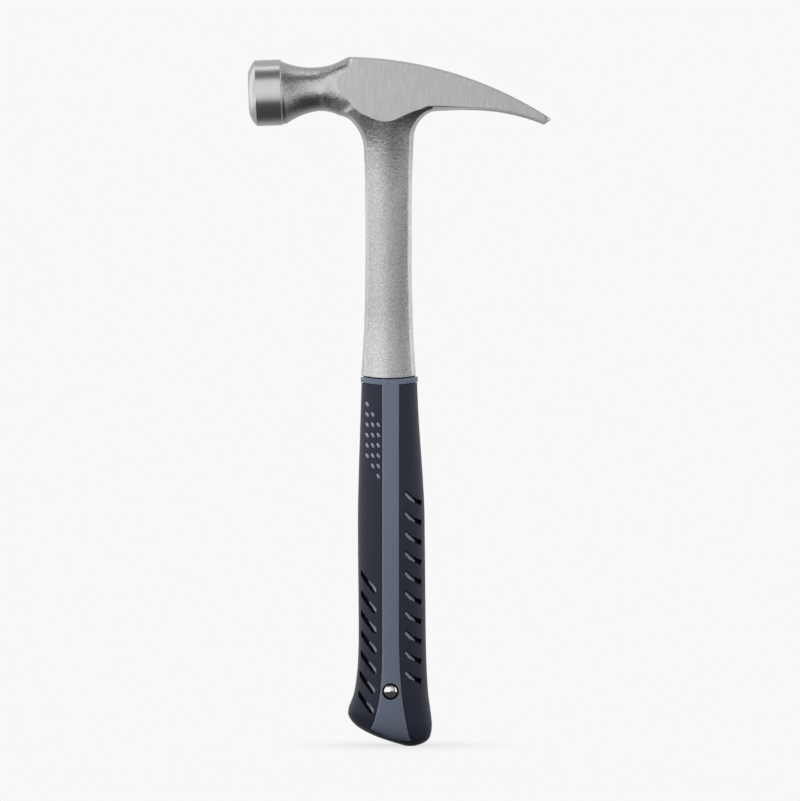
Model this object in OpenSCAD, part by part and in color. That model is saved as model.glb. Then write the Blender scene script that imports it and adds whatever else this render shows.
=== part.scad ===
// Straight claw hammer: a one-piece steel forging with a two-material moulded grip and a butt rivet.
// X runs along the head from the striking face (-X) to the claw (+X), Y across the ground cheeks,
// and Z up the handle from the butt. Lengths are millimetres, angles are degrees.

/* [Head] */
// Height of the head's top above the butt
overall_h = 335; // [323:1:347]
// Shank axis to the middle of the striking face
face_reach = 68; // [64:0.5:74]
// Shank axis to the claw tips
claw_reach = 79; // [74:0.5:84]
// Width across the two ground cheeks
cheek_w = 25; // [23:0.5:28]
// Radius of the arc along the top of the head and claw
crown_r = 184; // [150:1:230]
// Summit of that arc, on the neck side of the shank axis
crown_x = 21.5; // [15:0.5:25]
// Forging draft of the head's top and of the claw's underside
draft = 6; // [2:0.5:8]

/* [Bell and neck] */
// Diameter of the bell
bell_d = 32; // [29:0.5:35]
// Length of the bell from the striking face to the neck
bell_len = 17; // [14:0.5:20]
// Diameter of the flat striking face
face_d = 19.6; // [16:0.2:24]
// Length of the rounded bevel round the striking face
bevel_len = 4.6; // [3:0.2:6]
// Depth of the bell's rear bevel
bell_back = 1.4; // [0.6:0.2:2]
// Top of the head down to the middle of the striking face
bell_drop = 17.9; // [16:0.1:20]
// Lean of the striking face towards the handle
face_rake = 2; // [0:0.5:4]
// Diameter of the neck at its waist
neck_d = 21.2; // [18:0.2:24]
// Shank axis to the neck's waist
waist_reach = 33.5; // [31:0.5:36]
// Rise of the neck's axis towards the claw
neck_rise = 5.4; // [3:0.2:7]
// Radius of the flare from the neck into the cheeks
neck_flare_r = 20; // [18:0.5:24]

/* [Claw] */
// Top of the head down to the claw's underside
claw_drop = 26.4; // [24:0.2:29]
// Shank axis to where the underside starts to bend down
claw_bend_x = 40; // [34:0.5:46]
// Radius of that bend
claw_bend_r = 95; // [80:1:120]
// Slant of the ground facet under the tips
tip_slant = 35; // [25:1:45]
// Corner radius of the tips, seen from above
tip_corner_r = 4; // [2:0.5:6]
// Length of the nail notch
notch_len = 43; // [34:1:48]
// Width of the nail notch at the tips
notch_w = 10; // [8:0.2:12]
// Radius at the root of the nail notch
notch_root_r = 1.3; // [1:0.1:2]
// Extra width each side of the notch on the handle side of the claw
notch_lean = 1.2; // [0:0.2:2]

/* [Shank] */
// Width of the shank at its slimmest
shank_w = 22.7; // [20:0.1:25]
// Thickness of the shank at its slimmest
shank_t = 13; // [11:0.2:15]
// Width of the slanted band along each side of the shank
side_band = 1.7; // [1:0.1:2.5]
// Share of the thickness that the side band takes
band_share = 0.6; // [0.4:0.05:0.8]
// Width of the shoulder above the grip
shoulder_w = 27; // [25:0.2:28]
// Thickness of the shoulder above the grip
shoulder_t = 18; // [16:0.2:20]
// Length over which the shank widens into the shoulder
shoulder_len = 55; // [40:1:65]
// Widening of the shank below the head
root_w = 24.6; // [23:0.2:26]
// Length over which the shank widens below the head
root_len = 37; // [25:1:45]
// Radius of the fillet from the shank into the neck
neck_fillet_r = 20; // [16:0.5:22]
// Radius of the fillet from the shank into the claw
claw_fillet_r = 13; // [10:0.5:16]
// Radius of the fillet from the shank's flat face into the cheeks
cheek_fillet_r = 25; // [20:0.5:30]

/* [Tang] */
// Width of the tang inside the grip
tang_w = 18; // [16:0.5:19]
// Thickness of the tang
tang_t = 7; // [5:0.2:8]
// Height of the tang's lower end above the butt
tang_end_z = 16; // [13:0.5:19]
// Diameter of the holes that lock the core to the tang
lock_d = 7; // [5:0.2:9]
// Height of the lower lock hole above the butt
lock_z = 65; // [55:1:75]
// Spacing of the two lock holes
lock_gap = 60; // [45:1:70]

/* [Grip] */
// Height of the collar's top above the butt, at its middle
collar_z = 178; // [172:1:184]
// Height of the collar
collar_h = 2.6; // [2:0.1:4]
// Radius of the arc that the collar's edges follow
collar_r = 65; // [50:1:90]
// Gap between the steel shoulder and the collar
collar_gap = 0.6; // [0.3:0.1:1]
// Width of the grip under the collar
grip_top_w = 26.6; // [25:0.2:28]
// Thickness of the grip under the collar
grip_top_t = 19; // [18:0.2:21]
// Width of the grip at the palm
palm_w = 32.6; // [31:0.2:35]
// Thickness of the grip at the palm
palm_t = 25; // [23:0.2:27]
// Width of the butt across heel and toe
butt_w = 40.8; // [38:0.2:44]
// Thickness of the butt
butt_t = 26.4; // [25:0.2:29]
// Shift of the grip's middle towards the claw side
grip_lean = 1.4; // [0:0.1:2]
// Height of the heel's widest point
heel_z = 16.4; // [14:0.2:19]
// Height of the toe's widest point
toe_z = 10.6; // [9:0.2:13]
// Roundness of the grip's section, 2 is an ellipse
grip_power = 2.3; // [2:0.1:3]

/* [Core] */
// Wall of the core round the tang
core_wall = 1.8; // [1.4:0.1:2.2]
// Shift of the grey stripe towards the claw side
stripe_x = 1; // [0:0.1:2]
// Width of the grey stripe
stripe_w = 8.2; // [6.5:0.1:10]
// Width of the stripe at its lower end
stripe_end_w = 19; // [15:0.5:22]
// Height of the stripe's lower end on its middle line
stripe_end_z = 5.4; // [4.5:0.1:8]
// Slant of the stripe's lower end
stripe_slant = 17.5; // [10:0.5:22]
// Sag of the stripe's lower end below its straight line
stripe_sag = 1.4; // [0.4:0.1:1.8]
// Height by which stripe and collar stand proud of the soft grip
proud = 0.4; // [0.2:0.1:0.8]
// Clearance between steel, core and soft grip
seam = 0.2; // [0.1:0.05:0.4]

/* [Slots and dots] */
// Slots on the claw side of the stripe
claw_slots = 10; // [6:1:10]
// Slots on the face side of the stripe
face_slots = 7; // [4:1:8]
// Spacing of the slots
slot_pitch = 9.7; // [8:0.1:11]
// Height of a slot's opening at its upper end
slot_w = 2.2; // [2:0.1:2.6]
// Height of the lowest claw-side slot
claw_slot_z = 33; // [30:0.5:38]
// Height of the lowest face-side slot
face_slot_z = 22.6; // [20:0.5:30]
// Slope of the claw-side slots
claw_slot_slope = 32; // [25:1:45]
// Slope of the face-side slots
face_slot_slope = 47; // [40:1:52]
// Distance from the stripe to the claw-side slots
slot_gap = 3.2; // [2.4:0.1:3.6]
// Distance from the side of the grip to the face-side slots
slot_margin = 1.9; // [1.6:0.1:3]
// Width that a slot spans across the grip
slot_span = 7.6; // [6:0.2:8.2]
// Depth of a slot under the skin at its outer end
slot_depth = 2.4; // [1.6:0.1:3]
// Depth that the core's ramp in a slot falls to
ramp_fall = 3.6; // [2.4:0.1:4.4]
// Dots in each of the three columns
dots = 6; // [3:1:7]
// Spacing of the dots
dot_pitch = 5; // [4.2:0.1:6]
// Spacing of the dot columns
dot_column = 2.7; // [2.5:0.1:3]
// Length of a dot
dot_l = 2.6; // [2:0.1:3]
// Width of a dot
dot_w = 1.2; // [0.8:0.1:1.5]
// Lean of a dot from level
dot_lean = 62; // [50:1:75]

/* [Rivet] */
// Height of the rivet above the butt
rivet_z = 26.8; // [24:0.2:30]
// Diameter of the rivet's domed heads
rivet_d = 7.4; // [6.4:0.1:8]
// Height of the domes
dome_h = 1.9; // [1.2:0.1:2.4]
// Depth of the flat seats under the heads
seat_depth = 0.9; // [0.6:0.1:1.2]
// Diameter of the rivet's tube
tube_d = 5; // [4.4:0.1:5.6]
// Diameter of the rivet's post
post_d = 3.6; // [3:0.1:3.8]

/* [Hidden] */
$fn = 96;

// Overlap that makes joined solids meet inside each other, and reach of cutting tools
bite = 1;
far = 60;

// Shift that puts the middle of the head over the origin, with the leaning face's upper edge counted in
face_lean = face_d / 2 * sin(face_rake);
centre_x = (face_reach + face_lean - claw_reach) / 2;
half_cheek = cheek_w / 2;

// Bell and neck
face_z = overall_h - bell_drop;
bell_end = [-face_reach + bell_len * cos(face_rake), face_z + bell_len * sin(face_rake)];
neck_r = neck_d / 2;
neck_len = (-waist_reach - bell_end.x) / cos(neck_rise);
neck_start_r = bell_d / 2 - bell_back / 2;
neck_front_r = (neck_len ^ 2 + (neck_start_r - neck_r) ^ 2) / (2 * (neck_start_r - neck_r));
waist = [-waist_reach, bell_end.y + neck_len * sin(neck_rise)];
// Share of the flare's arc that shows before the cheeks begin
flare_share = 0.9;
flare_len = flare_share * neck_flare_r;

// Claw
claw_z = overall_h - claw_drop;
// The draft turns the side view about the claw's underside, which lengthens it upwards
crown_z = claw_z + claw_drop * cos(draft) - crown_r;
function crown(x) = crown_z + sqrt(crown_r ^ 2 - (x + crown_x) ^ 2);
tip = [claw_reach, claw_z + (crown(claw_reach) - claw_z) / cos(draft) - notch_w / 2 * tan(draft)];
tip_low = tip - claw_drop * [cos(tip_slant), sin(tip_slant)];
block_x = flare_len - waist_reach;
// Leaning line where the neck's flare ends inside the cheeks
tilt_share = 0.13;
function flare_end(z) = block_x + (z - overall_h) * tilt_share;
// Height above the claw's underside where the cheeks' side view starts at the neck
block_step = 2;

// Shank: half widths and half thickness against height. Each fillet ends a little inside the head,
// and stops at a share of its radius, before its arc turns flat
claw_sink = 0.5;
neck_sink = 1.4;
cheek_sink = 2.5;
neck_share = 0.8;
fillet_share = 0.98;
swell_share = 1.4;
shoulder_z = collar_z + collar_gap;
root_z = claw_z + claw_sink - claw_fillet_r;
neck_root_z = claw_z + neck_sink - neck_fillet_r;
cheek_root_z = claw_z + cheek_sink - cheek_fillet_r;
waist_low = shoulder_z + shoulder_len;
waist_high = root_z - root_len;
function swell(z, start, len) = max(0, (z - start) / len) ^ 2;
function fillet(z, start, r, stop) = r - sqrt(r ^ 2 - min(max(0, z - start), stop * r) ^ 2);
function half_width(z) = shank_w / 2
    + (shoulder_w - shank_w) / 2 * swell(-z, -waist_low, shoulder_len)
    + (root_w - shank_w) / 2 * min(swell_share, swell(z, waist_high, root_len));
function shank_left(z) = -half_width(z) - fillet(z, neck_root_z, neck_fillet_r, neck_share);
function shank_right(z) = half_width(z) + fillet(z, root_z, claw_fillet_r, fillet_share);
function half_thick(z) = shank_t / 2
    + (shoulder_t - shank_t) / 2 * swell(-z, -waist_low, shoulder_len)
    + fillet(z, cheek_root_z, cheek_fillet_r, fillet_share);

// Collar arcs, all about one centre above the collar
arc_z = collar_z + collar_r;

// Grip: rows of left edge, right edge and half thickness, from the butt's end up to the collar.
// The rows are shares of the butt, palm and top sizes and of the heel and toe heights
palm_z = (collar_z + heel_z) / 2;
butt_l = grip_lean / 2 - butt_w / 2;
butt_r = grip_lean / 2 + butt_w / 2;
palm_l = grip_lean - palm_w / 2;
palm_r = grip_lean + palm_w / 2;
top_l = grip_lean / 4 - grip_top_w / 2;
top_r = grip_lean / 4 + grip_top_w / 2;
end_share = 0.74;
end_half = 2.5;
palm_step = 24;
neck_step = 18;
collar_step = 5;
end_x = butt_l + end_share * butt_w;
GRIP_ROWS = [
    [end_x - end_half, 0, end_x + end_half, 0, 0.16 * butt_t],
    [butt_l + 0.5 * butt_w, 0.13 * heel_z, end_x + 0.147 * butt_w, 0.1 * toe_z, 0.29 * butt_t],
    [butt_l + 0.3 * butt_w, 0.31 * heel_z, end_x + 0.216 * butt_w, 0.28 * toe_z, 0.385 * butt_t],
    [butt_l + 0.11 * butt_w, 0.57 * heel_z, butt_r - 0.012 * butt_w, 0.55 * toe_z, 0.455 * butt_t],
    [butt_l + 0.012 * butt_w, 0.86 * heel_z, butt_r, toe_z, 0.49 * butt_t],
    [butt_l + 0.007 * butt_w, 1.12 * heel_z, butt_r - 0.02 * butt_w, 1.7 * toe_z, 0.5 * butt_t],
    [palm_l - 0.043 * palm_w, 1.72 * heel_z, butt_r - 0.049 * butt_w, 2.65 * toe_z, 0.492 * butt_t],
    [palm_l + 0.009 * palm_w, 3 * heel_z, palm_r + 0.015 * palm_w, 3 * heel_z, 0.5 * palm_t],
    [palm_l, palm_z, palm_r, palm_z, 0.492 * palm_t],
    [palm_l + 0.003 * palm_w, palm_z + palm_step, palm_r - 0.015 * palm_w, palm_z + palm_step, 0.472 * palm_t],
    [top_l - 0.026 * grip_top_w, collar_z - neck_step, top_r + 0.038 * grip_top_w, collar_z - neck_step,
        0.542 * grip_top_t],
    [top_l, collar_z + collar_step, top_r, collar_z + collar_step, grip_top_t / 2]
];
ROW_STEPS = 4;
RING_SIDES = 32;
FACE_STEPS = 10;

function spline(p, q, r, s, t) = 0.5 * (2 * q + (r - p) * t + (2 * p - 5 * q + 4 * r - s) * t ^ 2
    + (3 * q - p - 3 * r + s) * t ^ 3);
function smooth_rows(rows, last) = [
    for (i = [0:last - 1]) for (k = [0:ROW_STEPS - 1])
        spline(rows[max(0, i - 1)], rows[i], rows[i + 1], rows[min(last, i + 2)], k / ROW_STEPS),
    rows[last]
];
function power(v, p) = sign(v) * abs(v) ^ p;

// One ring of the grip: a rounded section on the chord between the row's two edges
function grip_ring(row, grow) = let (
    left = [row[0], 0, row[1]],
    right = [row[2], 0, row[3]],
    along = (right - left) / 2,
    reach = along * (1 + grow / norm(along)),
    middle = (left + right) / 2
) [for (i = [0:RING_SIDES - 1]) let (a = 360 * i / RING_SIDES)
    middle + reach * power(cos(a), 2 / grip_power) + [0, (row[4] + grow) * power(sin(a), 2 / grip_power), 0]];

// One ring of the shank: a bowed face front and back, with a slanted band down each side
function shank_ring(z) = let (
    left = shank_left(z),
    right = shank_right(z),
    middle = (left + right) / 2,
    reach = (right - left) / 2 - side_band,
    t = half_thick(z),
    bow = [for (i = [0:FACE_STEPS]) let (u = 1 - 2 * i / FACE_STEPS)
        [middle + u * reach, t * (band_share + (1 - band_share) * (1 - u ^ 2)), z]]
) concat([[right, 0, z]], bow, [[left, 0, z]], [for (i = [FACE_STEPS:-1:0]) [bow[i].x, -bow[i].y, z]]);

// Heights of the shank's rings, closer together where it flares, with spare length at both ends
SHOULDER_STEPS = 7;
STRAIGHT_STEPS = 5;
FLARE_STEPS = 9;
flare_angle = 80;
spare = 4;
shank_low = shoulder_z - spare;
SHANK_HEIGHTS = concat(
    [for (i = [0:SHOULDER_STEPS]) shank_low + i * (waist_low - shank_low) / SHOULDER_STEPS],
    [for (i = [1:STRAIGHT_STEPS]) waist_low + i * (neck_root_z - waist_low) / STRAIGHT_STEPS],
    [for (i = [1:FLARE_STEPS]) neck_root_z + neck_fillet_r * sin(i * flare_angle / FLARE_STEPS)],
    [claw_z + spare]
);

// Half thickness and side of the soft grip at a height, for what is cut into its skin
FIRST_SKIN_ROW = 6;
SKIN_ROWS = [for (i = [FIRST_SKIN_ROW:len(GRIP_ROWS) - 1]) GRIP_ROWS[i]];
function skin(z, column) = lookup(z, [for (row = SKIN_ROWS) [(row[1] + row[3]) / 2, row[column]]]);
function skin_y(x, z) = let (
    middle = (skin(z, 0) + skin(z, 2)) / 2,
    reach = (skin(z, 2) - skin(z, 0)) / 2
) skin(z, 4) * max(0, 1 - abs((x - middle) / reach) ^ grip_power) ^ (1 / grip_power);

// Height where the stripe starts to widen, in heel heights
stripe_flare = 3.6;
// How late its face-side and claw-side edges curve outwards
face_power = 4;
claw_power = 2.7;
// First dot of the column beside the stripe, from the stripe's edge and down from the collar's top
dot_inset = 1.85;
dot_drop = 22;
// Where the core's ramps and dots start inside its sleeve, and the rise of the dots over the skin
root_y = tang_t / 2;
dot_rise = 0.2;
// Bow of a slot's long edges, its gain in height towards the butt, and the ramp's share of its length,
// width and distance from its edges
bow_share = 0.3;
gain_share = 0.35;
ramp_share = 0.6;
ramp_w = 0.45 * slot_w;
ramp_inset = 2 * seam;

// Rivet seats, measured from the middle plane
rivet_x = stripe_x;
seat_y = skin(rivet_z, 4) + proud - seat_depth;

// Solid through a stack of rings, each going round the same way
module loft(rings) {
    sides = len(rings[0]);
    last = len(rings) - 1;
    walls = [for (i = [0:last - 1]) for (j = [0:sides - 1]) let (
        a = i * sides + j,
        b = i * sides + (j + 1) % sides
    ) each [[a, a + sides, b + sides], [a, b + sides, b]]];
    bottom = [for (j = [0:sides - 1]) j];
    top = [for (j = [sides - 1:-1:0]) last * sides + j];
    polyhedron([for (ring = rings) each ring], concat(walls, [bottom, top]));
}

// Extrudes a side view, drawn as X and Z, across the cheeks
module across(width) {
    rotate([90, 0, 0]) linear_extrude(width, center = true) children();
}

// Side view that draws in towards both cheeks by the forging draft
module drafted() {
    intersection_for (side = [-1, 1])
        translate([0, 0, claw_z]) rotate([side * draft, 0, 0]) translate([0, 0, -claw_z])
            across(far) children();
}

// Rectangle with round corners
module round_rect(w, h, r) {
    square([w - 2 * r, h], center = true);
    square([w, h - 2 * r], center = true);
    for (x = [-1, 1], y = [-1, 1]) translate([x * (w / 2 - r), y * (h / 2 - r)]) circle(r);
}

// Bell: a bowed bevel round the striking face, a cylinder and a rear bevel
module bell() {
    face_r = face_d / 2;
    bell_r = bell_d / 2;
    steps = 8;
    bevel = [for (i = [0:steps]) let (
        t = i / steps,
        chamfer = [face_r + (bell_r - face_r) * t, bevel_len * t],
        quarter = [face_r + (bell_r - face_r) * sin(90 * t), bevel_len * (1 - cos(90 * t))]
    ) (chamfer + quarter) / 2];
    rear = [[bell_r, bell_len - bell_back], [bell_r - bell_back, bell_len], [0, bell_len]];
    translate([-face_reach, 0, face_z]) rotate([0, 90 - face_rake, 0])
        rotate_extrude() polygon(concat([[0, 0]], bevel, rear));
}

// Neck: two arcs that meet at the waist, turned about the rising axis
module neck_solid() {
    steps = 14;
    front = [for (i = [0:steps - 1]) let (y = neck_len * i / steps)
        [neck_r + neck_front_r - sqrt(neck_front_r ^ 2 - (neck_len - y) ^ 2), y]];
    flare = [for (i = [0:steps]) let (a = asin(fillet_share) * i / steps)
        [neck_r + neck_flare_r * (1 - cos(a)), neck_len + neck_flare_r * sin(a)]];
    translate([bell_end.x, 0, bell_end.y]) rotate([0, 90 - neck_rise, 0]) rotate_extrude() polygon(concat(
        [[0, -2 * bell_back], [neck_start_r, -2 * bell_back]], front, flare, [[0, flare[steps].y]]
    ));
}

// Side view that trims the neck: the crown over its flare, and the line where the cheeks take over
module neck_side() {
    difference() {
        polygon([
            [bell_end.x - far, claw_z - far], [bell_end.x - far, overall_h + far], [waist.x, overall_h + far],
            [flare_end(overall_h) + bite, overall_h + bite], [flare_end(claw_z - far), claw_z - far]
        ]);
        difference() {
            translate([waist.x, claw_z]) square([far, 2 * far]);
            translate([-crown_x, crown_z]) circle(crown_r, $fn = 720);
        }
    }
}

module neck() {
    intersection() {
        neck_solid();
        drafted() neck_side();
    }
}

// Cheeks and claw: one side view, trimmed above and notched from the tips
module claw_side() {
    difference() {
        intersection() {
            translate([-crown_x, crown_z]) circle(crown_r, $fn = 720);
            polygon([
                [flare_end(claw_z + block_step) - bite, claw_z + block_step],
                [flare_end(overall_h), overall_h + bite],
                [claw_reach + bite, overall_h + bite], [claw_reach + bite, claw_z - claw_drop],
                [claw_bend_x, claw_z - claw_drop], [claw_bend_x, claw_z], [block_x + spare, claw_z]
            ]);
        }
        translate([claw_bend_x, claw_z - claw_bend_r]) circle(claw_bend_r, $fn = 360);
    }
}

module notch_slice(z, extra) {
    root = claw_reach - notch_len + notch_root_r;
    mouth = notch_w / 2 + extra;
    steps = 8;
    translate([0, 0, z]) linear_extrude(bite / 10) polygon(concat(
        [for (i = [0:steps]) let (a = 95 + 170 * i / steps)
            [root, 0] + (notch_root_r + extra) * [cos(a), sin(a)]],
        [[claw_reach + bite, -mouth], [claw_reach + bite, mouth]]
    ));
}

module claw() {
    difference() {
        drafted() claw_side();
        across(far) polygon([
            [claw_reach, overall_h + bite], tip, tip_low, [claw_reach + far, tip_low.y],
            [claw_reach + far, overall_h + bite]
        ]);
        hull() {
            notch_slice(overall_h, 0);
            notch_slice(claw_z - claw_drop / 3, notch_lean);
        }
        for (side = [-1, 1])
            translate([claw_reach - tip_corner_r, side * (half_cheek - tip_corner_r), claw_z]) difference() {
                translate([0, side > 0 ? 0 : -far, -far]) cube([far, far, 2 * far]);
                cylinder(2 * far, r = tip_corner_r, center = true);
            }
    }
}

// Shank: flared top and bottom, its shoulder cut to the collar's arc
module shank() {
    difference() {
        loft([for (z = SHANK_HEIGHTS) shank_ring(z)]);
        across(far) difference() {
            translate([-far / 2, shoulder_z - far / 2]) square([far, far / 2 + 2 * spare]);
            translate([0, arc_z]) circle(arc_z - shoulder_z, $fn = 360);
        }
    }
}

// Tang with its lock holes and the rivet hole
module tang_bar(grow) {
    r = tang_w / 2 + grow;
    end_z = tang_end_z + tang_w / 2;
    across(tang_t + 2 * grow) {
        translate([-r, end_z]) square([2 * r, shoulder_z + spare - end_z]);
        translate([0, end_z]) circle(r);
    }
}

module lock_posts(d) {
    for (i = [0, 1]) translate([0, 0, lock_z + i * lock_gap]) rotate([90, 0, 0])
        cylinder(tang_t + 4 * seam, d = d, center = true);
}

module rivet_bore(d) {
    translate([rivet_x, 0, rivet_z]) rotate([90, 0, 0]) cylinder(far, d = d, center = true);
}

module steel_forging() {
    color("silver") translate([centre_x, 0, 0]) difference() {
        union() {
            bell();
            difference() {
                union() {
                    neck();
                    claw();
                    shank();
                }
                for (side = [-1, 1])
                    translate([waist.x, side > 0 ? half_cheek : -half_cheek - far, root_z - far])
                        cube([3 * far, far, 3 * far]);
            }
            tang_bar(0);
        }
        lock_posts(lock_d);
        rivet_bore(tube_d + 2 * seam);
    }
}

// Stripe seen from the front, with its slanted lower end
module stripe_outline(grow) {
    half = stripe_w / 2 + grow;
    end_half = stripe_end_w / 2 + grow;
    end_z = stripe_end_z - grow;
    flare_z = stripe_flare * heel_z;
    rise = tan(stripe_slant);
    steps = 8;
    left = [for (i = [0:steps]) let (t = i / steps)
        [-half - (end_half - half) * t ^ face_power, flare_z + (end_z + rise * end_half - flare_z) * t]];
    right = [for (i = [steps:-1:0]) let (t = i / steps)
        [half + (end_half - half) * t ^ claw_power, flare_z + (end_z - rise * end_half - flare_z) * t]];
    end = [for (i = [1:steps - 1]) let (t = i / steps)
        left[steps] + (right[0] - left[steps]) * t - [0, 4 * stripe_sag * t * (1 - t)]];
    top = collar_z + spare;
    translate([stripe_x, 0]) polygon(concat([[-half, top]], left, end, right, [[half, top]]));
}

module sleeve(grow) {
    w = tang_w + 2 * (seam + core_wall + grow);
    t = tang_t + 2 * (seam + core_wall + grow);
    low = tang_end_z - core_wall - grow;
    translate([0, 0, low]) linear_extrude(collar_z + collar_h - low) round_rect(w, t, t / 3);
}

module grip_skin(grow) {
    loft([for (row = smooth_rows(GRIP_ROWS, len(GRIP_ROWS) - 1)) grip_ring(row, grow)]);
}

module grip_core() {
    color("slategray") translate([centre_x, 0, 0]) difference() {
        union() {
            intersection() {
                grip_skin(proud);
                union() {
                    across(far) stripe_outline(0);
                    across(far) intersection() {
                        translate([-far / 2, collar_z - far / 2]) square([far, far / 2 + 2 * spare]);
                        translate([0, arc_z - collar_h]) circle(collar_r, $fn = 360);
                    }
                }
            }
            sleeve(0);
            front_marks(0);
            mirror([0, 1, 0]) front_marks(0);
        }
        difference() {
            tang_bar(seam);
            lock_posts(lock_d - 2 * seam);
        }
        across(far) translate([0, arc_z]) circle(collar_r, $fn = 360);
        rivet_bore(tube_d + 2 * seam);
        for (side = [-1, 1]) translate([rivet_x, side * seat_y, rivet_z]) rotate([-side * 90, 0, 0])
            cylinder(far, d = rivet_d + 2 * seam);
    }
}

// Slots of the front: upper end at the left, slope, and the side of the grip they run out to
function slot_drop(slope) = slot_span * tan(slope);
function slot_start(x, z, slope) = [x, z + (slot_drop(slope) + slot_w) / 2];
SLOTS = concat(
    [for (i = [0:claw_slots - 1]) let (z = claw_slot_z + i * slot_pitch)
        [slot_start(stripe_x + stripe_w / 2 + slot_gap, z, claw_slot_slope), claw_slot_slope, 1]],
    [for (i = [0:face_slots - 1]) let (z = face_slot_z + i * slot_pitch)
        [slot_start(skin(z, 0) + slot_margin, z, face_slot_slope), face_slot_slope, -1]]
);

// Point on a slot's upper edge, from 0 at its upper end to 1 at its lower end
function slot_edge(t, slope) = [slot_span * t, -slot_drop(slope) * t * (1 + bow_share - bow_share * t)];
function slot_foot(t, slope) = slot_edge(t, slope) - [0, slot_w * (1 + gain_share * t)];

// Well of a slot, with a flat floor under the skin
module slot_well(slot) {
    start = slot[0];
    slope = slot[1];
    outer_x = start.x + (slot[2] > 0 ? slot_span : 0);
    floor_y = skin_y(outer_x, start.y - slot_drop(slope) / 2) - slot_depth;
    steps = 4;
    upper = [for (i = [0:steps]) slot_edge(i / steps, slope)];
    lower = [for (i = [steps:-1:0]) slot_foot(i / steps, slope)];
    translate([start.x, -floor_y, start.y]) rotate([90, 0, 0]) linear_extrude(far) polygon(concat(upper, lower));
}

// Ramp of the core inside a slot: level with the skin beside the stripe and deep towards the side. It runs
// along the lower edge on the claw side and along the upper edge on the face side
module slot_ramp(slot, grow) {
    slope = slot[1];
    side = slot[2];
    inner = side > 0 ? slot_foot(0, slope) : slot_edge(1, slope);
    outer = side > 0 ? slot_foot(ramp_share, slope) : slot_edge(1 - ramp_share, slope);
    chord = side * (outer - inner);
    fall = -atan2(chord.y, chord.x);
    length = norm(chord);
    foot = slot[0] + inner + side * (ramp_inset + ramp_w / 2) * [sin(fall), cos(fall)]
        + side * ramp_inset * [cos(fall), -sin(fall)];
    top = skin_y(foot.x, foot.y);
    translate([foot.x, 0, foot.y]) rotate([0, fall, 0]) linear_extrude(ramp_w + 2 * grow, center = true) polygon([
        [-side * grow, -root_y], [-side * grow, -top], [side * (length + grow), ramp_fall - top],
        [side * (length + grow), -root_y]
    ]);
}

// Slanted dot of the core, seen through the skin
module dot(x, z, grow) {
    sides = 12;
    translate([x, -root_y, z]) rotate([90, 0, 0]) linear_extrude(skin_y(x, z) + dot_rise + grow - root_y)
        rotate(-dot_lean) polygon([for (i = [0:sides - 1]) let (a = 360 * i / sides)
            [(dot_l / 2 + grow) * cos(a), (dot_w / 2 + grow) * sin(a)]]);
}

// What the core shows on the front through the soft grip. Grown by a clearance, it cuts its own windows
module front_marks(grow) {
    for (slot = SLOTS) slot_ramp(slot, grow);
    for (column = [0:2], i = [0:dots - 1])
        dot(stripe_x - stripe_w / 2 - dot_inset - dot_column * column,
            collar_z - dot_drop + (column - i) * dot_pitch, grow);
}

module front_cuts() {
    for (slot = SLOTS) slot_well(slot);
    front_marks(seam);
}

module soft_grip() {
    color("darkslateblue") translate([centre_x, 0, 0]) difference() {
        grip_skin(0);
        across(far) translate([0, arc_z - collar_h]) circle(collar_r + seam, $fn = 360);
        across(far) stripe_outline(seam);
        sleeve(seam);
        front_cuts();
        mirror([0, 1, 0]) front_cuts();
    }
}

// Domed head with its flat seat at the origin, dome towards +Z
module dome() {
    dome_r = ((rivet_d / 2) ^ 2 + dome_h ^ 2) / (2 * dome_h);
    intersection() {
        translate([0, 0, dome_h - dome_r]) sphere(dome_r);
        cylinder(dome_h + bite, d = rivet_d);
    }
}

module rivet_post() {
    color("gainsboro") translate([centre_x + rivet_x, -seat_y, rivet_z]) rotate([90, 0, 0]) {
        dome();
        translate([0, 0, bite - 2 * seat_y]) cylinder(2 * seat_y, d = post_d);
    }
}

module rivet_cap() {
    color("gainsboro") translate([centre_x + rivet_x, seat_y, rivet_z]) rotate([-90, 0, 0]) {
        dome();
        translate([0, 0, bite - 2 * seat_y]) difference() {
            cylinder(2 * seat_y - bite, d = tube_d);
            translate([0, 0, -bite]) cylinder(2 * seat_y, d = post_d + seam);
        }
    }
}

steel_forging();
grip_core();
soft_grip();
rivet_post();
rivet_cap();
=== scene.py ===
"""Looks of a straight claw hammer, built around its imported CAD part."""

import math

import bmesh
import bpy
import numpy as np
import openvdb
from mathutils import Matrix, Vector
from mathutils.bvhtree import BVHTree


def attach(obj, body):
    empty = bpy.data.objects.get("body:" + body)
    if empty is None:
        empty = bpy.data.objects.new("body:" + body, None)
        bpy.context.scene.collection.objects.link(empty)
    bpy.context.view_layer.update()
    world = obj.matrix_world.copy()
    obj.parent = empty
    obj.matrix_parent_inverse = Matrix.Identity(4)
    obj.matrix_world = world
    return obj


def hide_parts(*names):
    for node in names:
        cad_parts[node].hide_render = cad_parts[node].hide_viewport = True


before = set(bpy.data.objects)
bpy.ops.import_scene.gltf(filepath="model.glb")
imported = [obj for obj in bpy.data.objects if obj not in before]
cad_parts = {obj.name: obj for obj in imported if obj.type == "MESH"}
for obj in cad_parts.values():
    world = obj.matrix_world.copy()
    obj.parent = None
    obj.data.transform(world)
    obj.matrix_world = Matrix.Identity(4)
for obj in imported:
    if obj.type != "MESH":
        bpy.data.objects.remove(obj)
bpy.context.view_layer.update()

# Sizes in millimetres, in the shank's frame: X from the striking face to the claw, Z up from the butt
MM = 0.001
PIXEL = 0.487
# Radius at an axis, in place of 0, which would fold faces
AXIS_R = 0.02
# Added to a sum before a root is taken of it
TINY = 1e-6

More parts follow.
